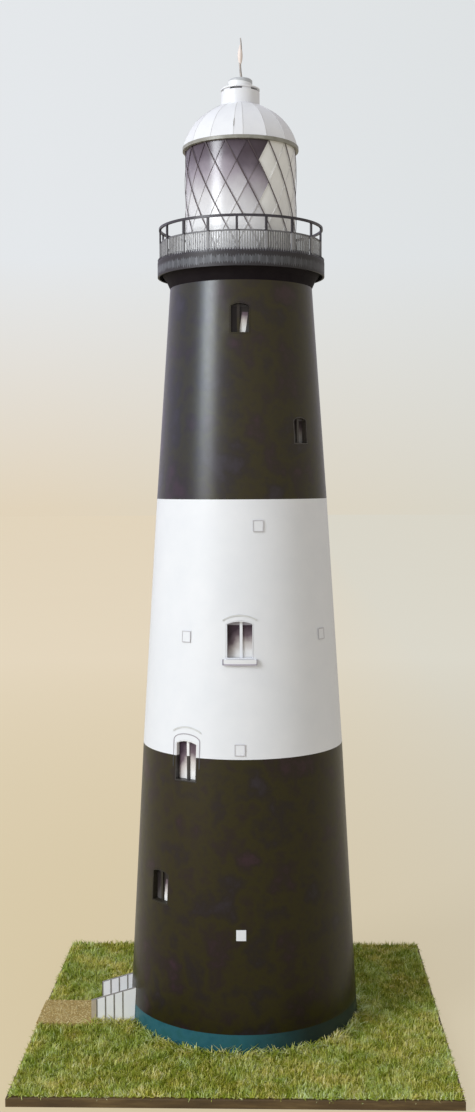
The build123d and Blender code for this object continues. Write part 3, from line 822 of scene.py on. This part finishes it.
def grass_finish(name, dark, middle, pale):
    """Fibre colour with its own tone for each fibre, blended to the dark tone low on each fibre as painted
    shade at the roots.
    """
    material, tree = finish_named(name, 0.55)
    patch = spread(tree, noise(tree, 260.0), 0.3, 0.7, -0.42, 0.42)
    broad = spread(tree, noise(tree, 60.0, 2.0), 0.3, 0.7, -0.16, 0.16)
    light = calc(tree, "ADD", stored(tree, "tone"), calc(tree, "ADD", patch, broad))
    strand = ramp(tree, light, (0.10, dark), (0.50, middle), (0.95, pale))
    cast = ramp(tree, noise(tree, 150.0), (0.38, (0.87, 1.03, 1.02)), (0.62, (1.09, 1.0, 0.90)))
    strand = blend(tree, 1.0, strand, cast, "MULTIPLY")
    # painted shade: the lower part of each fibre is blended towards the dark tone
    root = spread(tree, stored(tree, "tip"), 0.0, 0.8, 0.5, 0.0)
    return inked(material, blend(tree, root, strand, dark))


long_finish = grass_finish("grass_long", (0.25, 0.30, 0.012), (0.64, 0.63, 0.110), (0.94, 0.91, 0.56))
short_finish = grass_finish("grass_short", (0.22, 0.26, 0.010), (0.54, 0.54, 0.070), (0.82, 0.79, 0.30))
print("grass finishes ready")

# %% Press the slab down to a bed
bed_height = 0.22 * MM
bed_shape = merged_copy("grass_mat")
for corner in bed_shape.verts:
    if corner.co.z > board_top + 0.1 * MM:
        corner.co.z = board_top + bed_height
turf_bed = add_piece("grass_bed", mesh_from("grass_bed", bed_shape, turf_finish), "grass", "grass_mat")
print("bed", round(bed_height / MM, 2), "mm deep")

# %% One fibre


def fibre_mesh(name, length, width, bend, spans):
    """A three-sided spike along an arc, with the share of its length stored as 'tip'."""
    shape = bmesh.new()
    rings = []
    for span in range(spans):
        share = span / spans
        lean = bend * share
        middle = Vector((0, -math.sin(lean) * length * share, math.cos(lean) * length * share))
        reach = width / 2 * (1 - share)
        rings.append([shape.verts.new(middle + Vector((math.cos(a), math.sin(a), 0)) * reach)
                      for a in (math.pi / 6 + third * 2 * math.pi / 3 for third in range(3))])
    point = shape.verts.new((0, -math.sin(bend) * length, math.cos(bend) * length))
    shape.faces.new(reversed(rings[0]))
    skin(shape, rings)
    for i in range(3):
        shape.faces.new((rings[-1][i], rings[-1][(i + 1) % 3], point))
    mesh = mesh_from(name, shape)
    tip = mesh.attributes.new("tip", "FLOAT", "POINT")
    for corner, value in zip(mesh.vertices, tip.data):
        value.value = corner.co.length / length
    return mesh


long_fibre = fibre_mesh("long_fibre", 2.2 * MM, 0.24 * MM, math.radians(35), 2)
short_fibre = fibre_mesh("short_fibre", 1.3 * MM, 0.30 * MM, 0.0, 1)
print("long fibre", len(long_fibre.polygons), "faces, short fibre", len(short_fibre.polygons))

# %% Ground for the extra sowings


def flat_mesh(name, outlines):
    """A flat mesh that faces up, with one face for each outline of (x, y) corners."""
    shape = bmesh.new()
    for outline in outlines:
        face = shape.faces.new([shape.verts.new((x, y, board_top + bed_height / 2)) for x, y in outline])
        face.normal_update()
        if face.normal.z < 0:
            face.normal_flip()
    mesh = bpy.data.meshes.new(name)
    shape.to_mesh(mesh)
    shape.free()
    return mesh


def rectangle(left, front, right, back):
    """The four corners of a rectangle."""
    return (left, front), (right, front), (right, back), (left, back)


foot_reach, foot_gap = 2.2 * MM, 0.1 * MM
foot_start, foot_step, foot_steps = -66, 11, 16  # degrees, degrees, count
edge_over, edge_inside = 0.30 * MM, 0.30 * MM


def foot_outlines():
    """Ground at the foot of the tower and of the near wall, where the flock stands taller."""
    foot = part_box("plinth_band")[1].x
    turns = [math.radians(foot_start + foot_step * i) for i in range(foot_steps + 1)]
    outlines = [[round_tower(reach, turn, 0)[:2] for reach, turn in
                 ((foot, one), (foot + foot_reach, one), (foot + foot_reach, other), (foot, other))]
                for one, other in zip(turns, turns[1:])]
    wall_low, wall_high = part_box("stair_wall_near")
    near = wall_low.y - foot_gap
    outlines.append(rectangle(wall_low.x, near - foot_reach, wall_high.x, near))
    return outlines


def edge_outlines():
    """Strips along the board's edges, over which the flock hangs; the path's end stays free."""
    low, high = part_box("grass_mat")
    path_near, path_far = (v.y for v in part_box("gravel_path"))
    left, inner = low.x - edge_over, low.x + edge_inside
    return (rectangle(low.x, low.y - edge_over, high.x, low.y + edge_inside),
            rectangle(high.x - edge_inside, low.y, high.x + edge_over, high.y),
            rectangle(left, low.y, inner, path_near),
            rectangle(left, path_far, inner, high.y))


foot_ground = flat_mesh("foot", foot_outlines())
edge_ground = flat_mesh("edge", edge_outlines())
print("foot", len(foot_ground.polygons), "faces, edge", len(edge_ground.polygons))

# %% Sow the fibres
thin_out = 1.0
sowings = (
    # name, fibre, finish, ground, fibres to the square metre, smallest, largest, lean, seed
    ("grass_fibres_long", long_fibre, long_finish, turf_bed.data, 2.7e6, 0.55, 1.15, 74, 11),
    ("grass_fibres_short", short_fibre, short_finish, turf_bed.data, 6.4e6, 0.6, 1.3, 60, 23),
    ("grass_foot", long_fibre, long_finish, foot_ground, 7.5e6, 1.0, 1.9, 42, 31),
    ("grass_edge", short_fibre, long_finish, edge_ground, 2.6e7, 0.6, 1.3, 120, 47),
)
for name, fibre, fibre_finish, ground, density, smallest, largest, lean, seed in sowings:
    sown = run_tree(scatter, name, fibre, ground.copy(), Density=density * thin_out,
                    Smallest=smallest, Largest=largest, Lean=math.radians(lean), Seed=seed,
                    Material=fibre_finish)
    add_piece(name, sown, "grass")
    print(name, len(sown.polygons), "faces")

# %% [markdown]
# ## Grit on the path
# The sanded path gets loose grains: small rough stones of twenty faces, half sunk in the sand. A
# bump alone would leave its edge ruler straight, so the scatter that sows the grass sows them too.
# %% Sow the grit


def stone_finish():
    """Tan, brown and pale grit, one tone a grain."""
    material, tree = finish_named("grit_stone", 0.8)
    colour = ramp(tree, stored(tree, "tone"), (0.1, (0.38, 0.27, 0.09)), (0.5, (0.52, 0.39, 0.15)),
                  (0.9, (0.68, 0.57, 0.30)))
    return inked(material, colour, noise(tree, 3000.0), 0.03)


grain_shape = bmesh.new()
bmesh.ops.create_icosphere(grain_shape, subdivisions=1, radius=0.24 * MM)
bmesh.ops.scale(grain_shape, verts=grain_shape.verts, vec=(1.0, 0.8, 0.6))
path_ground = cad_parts["gravel_path"].data.copy()
grit = run_tree(scatter, "path_grit", mesh_from("grain", grain_shape), path_ground,
                Density=7.0e6 * thin_out, Smallest=0.45, Largest=1.25, Lean=math.pi, Seed=5,
                Material=stone_finish())
add_piece("path_grit", grit, "path")
print("grit", len(grit.polygons), "faces")

# %% [markdown]
# ## Block walls of the steps
# Two low walls rise beside the steps, drawn as upright white blocks with dark joints. The cut edge
# of the card shows dark along the sloping top, and the near wall ends in a strip of bare tan card.
# Each joint is one thin strip on the wall's face: a few real strips stay sharp at any distance. The
# faces are read from the model.
# %% Draw the joints
joint_start, joint_pitch, joint_width, joint_count = -36.1 * MM, 2.15 * MM, 0.30 * MM, 4
strip_depth, same_place = 0.06 * MM, 0.01 * MM
joint_strips, top_strips, end_strips = [], [], []


def draw_wall(node):
    """Strips on the wall's two faces, along its sloping top and over its low end."""
    corners = [v.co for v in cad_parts[node].data.vertices]
    low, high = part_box(node)
    low_top = max(c.z for c in corners if c.x < low.x + same_place)
    peak = max(corners, key=lambda c: c.z)
    slope = (peak.z - low_top) / (peak.x - low.x)

    def top_at(x):
        return low_top + slope * (x - low.x)

    def upright_strip(face, outward, left, right):
        spots = ((left, board_top), (right, board_top), (right, top_at(right)), (left, top_at(left)))
        spots = [Vector((x, face, z)) for x, z in spots]
        return plate_mesh("strip", spots, strip_depth, Vector((0, outward, 0)))

    bare_end = low.x < joint_start - 0.5 * MM
    ends = []
    for face, outward in ((low.y, -1), (high.y, 1)):
        ends.append(max(c.x for c in corners if abs(c.y - face) < same_place and c.z > low_top))
        for i in range(joint_count):
            left = max(joint_start + i * joint_pitch - joint_width / 2, low.x)
            joint_strips.append(upright_strip(face, outward, left, left + joint_width))
        if bare_end:
            end_strips.append(upright_strip(face, outward, low.x, joint_start - joint_width / 2))
    if bare_end:
        spots = ((low.y, board_top), (high.y, board_top), (high.y, low_top), (low.y, low_top))
        spots = [Vector((low.x, y, z)) for y, z in spots]
        end_strips.append(plate_mesh("end", spots, strip_depth, Vector((-1, 0, 0))))
    spots = ((low.x, low.y), (ends[0], low.y), (ends[1], high.y), (low.x, high.y))
    spots = [Vector((x, y, top_at(x))) for x, y in spots]
    top_strips.append(plate_mesh("top", spots, strip_depth, Vector((-slope, 0, 1)).normalized()))


def joined(name, plates, material):
    """One mesh from several plates."""
    shape = bmesh.new()
    for plate in plates:
        shape.from_mesh(plate)
    return mesh_from(name, shape, material)


for node in ("stair_wall_near", "stair_wall_far"):
    draw_wall(node)
add_piece("stair_joints", joined("stair_joints", joint_strips + top_strips, joint_ink_and_gap_shade), "ink_card")
add_piece("stair_end", joined("stair_end", end_strips, edge_card), "white_card")
print("stair joints", len(joint_strips), "tops", len(top_strips))

# %% [markdown]
# ## Teeth under the railing
# The railing is fretted from card, and the feet of its pickets stand as a fine saw edge in front
# of the deck. One small tooth is copied round by the turntable, one for each picket and post.
# %% Turn the teeth
fascia_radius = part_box("gallery_fascia")[1].x
tooth_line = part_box("gallery_fascia")[1].z
tooth_height, tooth_depth, tooth_turn = 0.85 * MM, 0.12 * MM, -1.3
tooth_half = math.radians(picket_pitch) * fascia_radius * 0.42
tooth_corners = [Vector((x, -fascia_radius + tooth_depth * 1.5, z)) for x, z in
                 ((-tooth_half, tooth_line), (tooth_half, tooth_line), (0, tooth_line + tooth_height))]
tooth = plate_mesh("tooth", tooth_corners, tooth_depth, Vector((0, -1, 0)))
teeth = run_tree(turntable, "gallery_teeth", tooth, Copies=tooth_count, Start=tooth_turn,
                 Pitch=picket_pitch, Material=dark_rail_card)
add_piece("gallery_teeth", teeth, "railing")
print("teeth", tooth_count)

# %% [markdown]
# ## Seams of the dome
# The dome is bent up from narrow gores, and the butt joints between them show as fine grey lines.
# A bump would blur such fine lines, so one is made as a thin ribbon along the arc of a seam. The turntable
# copies it to every joint, and the narrow closing strip takes up what the even steps leave. Its left joint
# gapes a little at half height; the shade in the gap is painted as one slim dark spindle.
# %% Draw the seams
dome_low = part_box("dome")[0].z
gore_count, closing_angle, closing_middle = 15, 9.2, -0.8  # count, degrees, degrees
gore_angle = (360 - closing_angle) / gore_count
dome_base, dome_rise = 13.9 * MM, 10.8 * MM
dome_bend = (dome_base ** 2 + dome_rise ** 2) / (2 * dome_rise)
dome_middle = dome_low + dome_rise - dome_bend
corner_bend = dome_bend / math.cos(math.radians(gore_angle / 2))
rim_start = math.asin((dome_low - dome_middle) / dome_bend)
rim_end = math.acos(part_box("ventilator_drum")[1].x / dome_bend)
arc_spans = 18


def arc_ribbon(name, low_stand, high_stand, half_at):
    """A closed ribbon up the front of the dome; half_at gives its half width from its radius."""
    shape = bmesh.new()
    rows = []
    for span in range(arc_spans + 1):
        bend = rim_start + (rim_end - rim_start) * span / arc_spans
        row = []
        for stand, ends in ((low_stand, (-1, 1)), (high_stand, (1, -1))):
            reach = (corner_bend + stand) * math.cos(bend)
            level = dome_middle + (dome_bend + stand) * math.sin(bend)
            half = half_at(reach)
            back = -math.sqrt(reach ** 2 - half ** 2)
            row += [shape.verts.new((end * half, back, level)) for end in ends]
        rows.append(row)
    tube(shape, rows)
    return mesh_from(name, shape)


seam = arc_ribbon("seam", -0.10 * MM, 0.03 * MM, lambda reach: 0.06 * MM)
strip_share = math.sin(math.radians(closing_angle / 2))
strip = arc_ribbon("strip", -0.40 * MM, 0.0, lambda reach: reach * strip_share)
for name, ribbon, copies, start, pitch, ribbon_finish in (
        ("dome_strip", strip, 1, closing_middle, 0.0, dome_card),
        ("dome_seams", seam, gore_count + 1, closing_middle + closing_angle / 2, gore_angle, seam_ink)):
    turned = run_tree(turntable, name, ribbon, Copies=copies, Start=start, Pitch=pitch,
                      Material=ribbon_finish)
    add_piece(name, turned, "white_card")
print("seams", gore_count + 1)

# %% Paint the shade in the slit
slit_side = math.radians(closing_middle - closing_angle / 2)
slit_out = Vector(round_tower(1, slit_side, 0))
slit_across = Vector((math.cos(slit_side), math.sin(slit_side), 0))
slit_start, slit_length = 22, 12  # degrees up the dome's arc
slit_half, slit_rows = 0.14 * MM, 8
slit_spots = []
for i, way in [(i, 1) for i in range(slit_rows + 1)] + [(i, -1) for i in range(slit_rows - 1, 0, -1)]:
    bend = math.radians(slit_start + slit_length * i / slit_rows)
    half = slit_half * math.sin(math.pi * i / slit_rows)
    level = dome_middle + dome_bend * math.sin(bend)
    slit_spots.append(slit_out * corner_bend * math.cos(bend) + slit_across * way * half
                      + Vector((0, 0, level)))
slit = plate_mesh("dome_slit", slit_spots, 0.05 * MM, slit_out)
# painted shade: the gap is a dark plate laid on the dome, not an opening
slit.materials.append(joint_ink_and_gap_shade)
add_piece("dome_slit", slit, "ink_card")
print("slit", len(slit_spots), "corners")

# %% [markdown]
# ## Printed outlines of the vents
# On the white band each ventilation plate is only a thin printed square. A vent's place is read
# from the model's plates, one island at a time, and four slim bars are drawn round each.
# %% Outline the vents


def islands(shape):
    """The connected groups of corners of a bmesh, each as a list."""
    groups, reached = [], set()
    for start in shape.verts:
        if start in reached:
            continue
        reached.add(start)
        group = [start]
        for corner in group:  # the list grows while it is walked
            for edge in corner.link_edges:
                other = edge.other_vert(corner)
                if other not in reached:
                    reached.add(other)
                    group.append(other)
        groups.append(group)
    return groups


def span_of(group):
    """The lowest and the highest level of a group of corners, and their middle."""
    levels = [corner.co.z for corner in group]
    return min(levels), max(levels), sum((corner.co for corner in group), Vector()) / len(group)


outline_width, outline_stand, bar_depth = 0.17 * MM, 0.05 * MM, 0.12 * MM
vent_copy = merged_copy("vent_plates")
bars = []
for group in islands(vent_copy):
    low_z, high_z, middle = span_of(group)
    if not lower_top < (low_z + high_z) / 2 < middle_top:
        continue
    outward = Vector((middle.x, middle.y, 0)).normalized()
    sideways = Vector((-outward.y, outward.x, 0))
    half = max(v.co.dot(sideways) for v in group)
    rim = [v.co for v in group if v.co.dot(outward) > middle.dot(outward) - 0.02 * MM]
    reach_low = max(c.dot(outward) for c in rim if c.z < low_z + 0.1 * MM)
    reach_high = max(c.dot(outward) for c in rim if c.z > high_z - 0.1 * MM)
    edge = outline_width / 2
    for x, z, x_half, z_half in (
            (-half, (low_z + high_z) / 2, edge, (high_z - low_z) / 2 + edge),
            (half, (low_z + high_z) / 2, edge, (high_z - low_z) / 2 + edge),
            (0, low_z, half - edge, edge),
            (0, high_z, half - edge, edge)):
        spots = []
        for x_way, z_way in ((-1, -1), (1, -1), (1, 1), (-1, 1)):
            level = z + z_way * z_half
            share = (level - low_z) / (high_z - low_z)
            reach = reach_low + (reach_high - reach_low) * share + outline_stand - bar_depth
            spots.append(sideways * (x + x_way * x_half) + outward * reach + Vector((0, 0, level)))
        bars.append(plate_mesh("bar", spots, bar_depth, outward))
vent_copy.free()
add_piece("vent_outlines", joined("vent_outlines", bars, line_ink), "ink_card")
print("outlined", len(bars) // 4, "vents")

# %% [markdown]
# ## Window panes with their print and painted light
# Each window shows two tall panes, dark at the head and pale towards the sill, under a lilac head panel.
# The finish needs to know where a point lies in its own window, so a merged copy of the model's panes
# carries height and side as attributes, worked out island by island. Each side also carries its own painted
# light: where it is low the pane is painted near black as shade, and on some windows only a leaning bright
# strip shows the print.
# %% Print and light the panes
# painted light and shade for each window: how much of the print shows on each side, and the lean of the
# bright strip
side_lights = (
    # azimuth, light left, light right, lean of the bright strip, reach of the dark print
    (-47, 0.10, 1.0, 0.45, 1.0),
    (-31, 1.0, 1.0, 0.0, 0.85),
    (46, 0.14, 0.24, 0.0, 1.0),
)
front_lights, top_front_lights = (0.75, 0.76, 0.0, 1.0), (0.03, 0.95, 0.45, 1.0)
back_lights = (0.60, 1.0, 0.0, 1.0)
upper_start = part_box("tower_upper")[0].z
labels = ("pane_height", "pane_side", "left_light", "right_light", "pane_lean")


def pane_finish():
    """Dark plum at the head of a pane, fading to white at its foot; painted shade darkens the left side,
    and each side's painted light sets how much of the print shows through near-black painted shade.
    """
    material, tree = finish_named("pane_print_and_painted_light", 0.3, Specular_IOR_Level=0.2)
    height, side, left_light, right_light, lean = (stored(tree, label) for label in labels)
    shade = spread(tree, side, -1.0, -0.15, 0.34, 0.0)
    uneven = spread(tree, noise(tree, 420.0), 0.3, 0.7, -0.06, 0.06)
    fading = calc(tree, "ADD", calc(tree, "ADD", height, uneven), shade)
    colour = ramp(tree, fading, (0.12, (0.97, 0.965, 0.96)), (0.40, (0.62, 0.57, 0.56)),
                  (0.62, (0.17, 0.125, 0.150)), (0.86, (0.045, 0.026, 0.042)))
    colour = blend(tree, calc(tree, "GREATER_THAN", height, 0.90), colour, (0.46, 0.44, 0.50))
    leaning = calc(tree, "MULTIPLY", lean, calc(tree, "ADD", height, -0.2))
    upright_side = calc(tree, "SUBTRACT", side, leaning)
    on_right = calc(tree, "GREATER_THAN", upright_side, 0.0)
    light = add(tree, "ShaderNodeMix", {0: on_right, 2: left_light, 3: right_light}).outputs[0]
    past_side, past_head = (spread(tree, lean, 0.0, 0.3, 9.0, limit) for limit in (0.70, 0.72))
    beyond = calc(tree, "MAXIMUM", calc(tree, "GREATER_THAN", upright_side, past_side),
                  calc(tree, "GREATER_THAN", height, past_head))
    # painted shade: outside the bright strip the pane goes near black
    light = add(tree, "ShaderNodeMix", {0: beyond, 2: light, 3: 0.05}).outputs[0]
    return inked(material, blend(tree, light, (0.026, 0.022, 0.019), colour), noise(tree, 1800.0), 0.006)


def lights_of(middle):
    """Lights, lean and reach of the window with this middle."""
    turned = math.degrees(math.atan2(middle.x, -middle.y))
    if abs(turned) > 90:
        return back_lights
    if abs(turned) < 5:
        return top_front_lights if middle.z > upper_start else front_lights
    return min(side_lights, key=lambda entry: abs(entry[0] - turned))[1:]


pane_shape = merged_copy("window_panes")
layers = [pane_shape.verts.layers.float.new(label) for label in labels]
pane_groups = islands(pane_shape)
for group in pane_groups:
    low_z, high_z, middle = span_of(group)
    sideways = Vector((-middle.y, middle.x, 0)).normalized()
    half = max((v.co - middle).dot(sideways) for v in group)
    *lights, reach = lights_of(middle)
    for corner in group:
        height = reach * (corner.co.z - low_z) / (high_z - low_z)
        side = (corner.co - middle).dot(sideways) / half
        for layer, value in zip(layers, (height, side, *lights)):
            corner[layer] = value
add_piece("pane_prints", mesh_from("pane_prints", pane_shape, pane_finish()), "pane", "window_panes")
print("printed", len(pane_groups), "windows")

# %% [markdown]
# ## The outline round the window on the line
# The window across the colour line has one more printed line: an arch that stands a little outside
# the opening. It is drawn as a thin ribbon on the wall. The wall's radius at each level is read
# from the model's tubes, so the ribbon lies on the cone wherever it goes.
# %% Draw the arch


def wall_radius(level):
    """Radius of the white or the black wall at a level, read from the tubes' own corners."""
    node = "tower_middle" if level > lower_top else "tower_lower"
    corners = [v.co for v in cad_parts[node].data.vertices]
    low, high = (edge(c.z for c in corners) for edge in (min, max))
    low_radius = max(math.hypot(c.x, c.y) for c in corners if c.z < low + 0.1 * MM)
    high_radius = max(math.hypot(c.x, c.y) for c in corners if c.z > high - 0.1 * MM)
    return low_radius + (high_radius - low_radius) * (level - low) / (high - low)


line_azimuth = math.radians(-31.5)
line_sill, line_crown = (v.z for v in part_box("window_frame_band_line"))
arch_half, arch_lift, arch_width, arch_stand = 3.85 * MM, 1.6 * MM, 0.24 * MM, 0.05 * MM
arch_foot, arch_spring, arch_spans = line_sill + 3.2 * MM, line_crown - 0.2 * MM, 16


def arch_line(inset):
    """Places across and up along the arch, set in from its outer edge."""
    half, crown = arch_half - inset, line_crown + arch_lift - inset
    bow = [(-half * math.cos(a), arch_spring + (crown - arch_spring) * math.sin(a))
           for a in (math.pi * i / arch_spans for i in range(arch_spans + 1))]
    return [(-half, arch_foot), *bow, (half, arch_foot)]


arch_shape = bmesh.new()
arch_rows = []
for inset, stand in ((0.0, -arch_stand), (arch_width, -arch_stand), (arch_width, arch_stand),
                     (0.0, arch_stand)):
    row = []
    for x, z in arch_line(inset):
        reach = wall_radius(z) + stand
        row.append(arch_shape.verts.new(round_tower(reach, line_azimuth + x / reach, z)))
    arch_rows.append(row)
skin(arch_shape, arch_rows + arch_rows[:1], closed=False)
for i in (0, -1):
    arch_shape.faces.new([row[i] for row in arch_rows])
add_piece("line_arch", mesh_from("line_arch", arch_shape, arch_ink), "ink_card")
print("arch", len(arch_rows[0]), "points a side")

# %% [markdown]
# ## Painted shade in the ventilator's throat
# The neck between the drum and the cap is slotted. Behind the slots stands a slightly waisted dark plug,
# turned from its profile: painted shade where the slots look into darkness.
# %% Turn the throat
neck_low, neck_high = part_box("ventilator_neck")
throat_profile = ((3.95 * MM, 0.0), (3.80 * MM, 0.5), (3.95 * MM, 1.0))
throat_sides = 32
throat_shape = bmesh.new()
throat_rings = []
for radius, share in throat_profile:
    level = neck_low.z + (neck_high.z - neck_low.z) * share
    throat_rings.append([throat_shape.verts.new(round_tower(radius, 2 * math.pi * i / throat_sides, level))
                         for i in range(throat_sides)])
tube(throat_shape, throat_rings)
add_piece("ventilator_throat", mesh_from("ventilator_throat", throat_shape, throat_shade_finish), "ink_card")
print("throat turned with", throat_sides, "sides")

# %% [markdown]
# ## The bent wire and its paper leaf
# The finial is a piece of thin wire that was never quite straightened. Straight lengths would meet
# in corners, so a short spline with a round bevel follows its few bends. A slim leaf of pale paper
# is wrapped round it: a grid of corners, bowed outwards and narrowed to both ends, then thickened.
# %% Bend the wire
wire_low, wire_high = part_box("finial_rod")
wire_bends = (
    # to the right in millimetres, share of the height
    (0.42, -0.02), (0.20, 0.08), (-0.02, 0.28), (-0.08, 0.50), (0.38, 0.78), (0.06, 1.0))
wire_curve = bpy.data.curves.new("finial_wire", "CURVE")
wire_curve.dimensions = "3D"
wire_curve.bevel_depth = 0.25 * MM
wire_curve.bevel_resolution = 3
wire_curve.use_fill_caps = True
wire_curve.resolution_u = 8
spline = wire_curve.splines.new("NURBS")
spline.points.add(len(wire_bends) - 1)
for point, (x, share) in zip(spline.points, wire_bends):
    point.co = (x * MM, 0, wire_low.z + (wire_high.z - wire_low.z) * share, 1)
    point.radius = 1.15 - 0.55 * max(share, 0) ** 2
spline.order_u = 3
spline.use_endpoint_u = True
wire_bent = linked("wire_bent", wire_curve)
wire_mesh = plain_mesh("finial_wire", wire_bent)
bpy.data.objects.remove(wire_bent)
wire_mesh.materials.clear()
wire_mesh.materials.append(wire_finish)
add_piece("finial_wire", wire_mesh, "wire", "finial_rod")
print("wire", len(wire_mesh.polygons), "faces")

# %% Wrap the leaf
leaf_low, leaf_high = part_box("wind_vane")
leaf_foot, leaf_tip = leaf_low.z - 0.8 * MM, leaf_high.z + 1.3 * MM
leaf_left, leaf_right, leaf_bulge, leaf_set = -0.56 * MM, 0.54 * MM, 0.36 * MM, 0.05 * MM
leaf_rows, leaf_columns, leaf_depth = 12, 6, 0.08 * MM
leaf_shape = bmesh.new()
leaf_grid = []
for i in range(leaf_rows + 1):
    up = i / leaf_rows
    swell = math.sin(math.pi * min(max(up, 0.03), 0.97)) ** 0.8
    line = []
    for out in (j / leaf_columns for j in range(leaf_columns + 1)):
        x = (leaf_right + (leaf_left - leaf_right) * out) * swell
        y = (-leaf_bulge * math.sin(math.pi * out) - leaf_set) * swell
        line.append(leaf_shape.verts.new((x, y, leaf_foot + (leaf_tip - leaf_foot) * up)))
    leaf_grid.append(line)
skin(leaf_shape, leaf_grid, closed=False)
leaf_shape.normal_update()
bmesh.ops.solidify(leaf_shape, geom=leaf_shape.faces[:], thickness=leaf_depth)
leaf_mesh = mesh_from("vane_leaf", leaf_shape, leaf_finish)
for face in leaf_mesh.polygons:
    face.use_smooth = True
add_piece("vane_leaf", leaf_mesh, "vane", "wind_vane")
print("leaf", len(leaf_mesh.polygons), "faces")

# %% [markdown]
# ## Finish
# The dressed model has to stay inside the model's own box, give or take the grass. This cell only brings
# the scene up to date.
# %% Update the scene
bpy.context.view_layer.update()
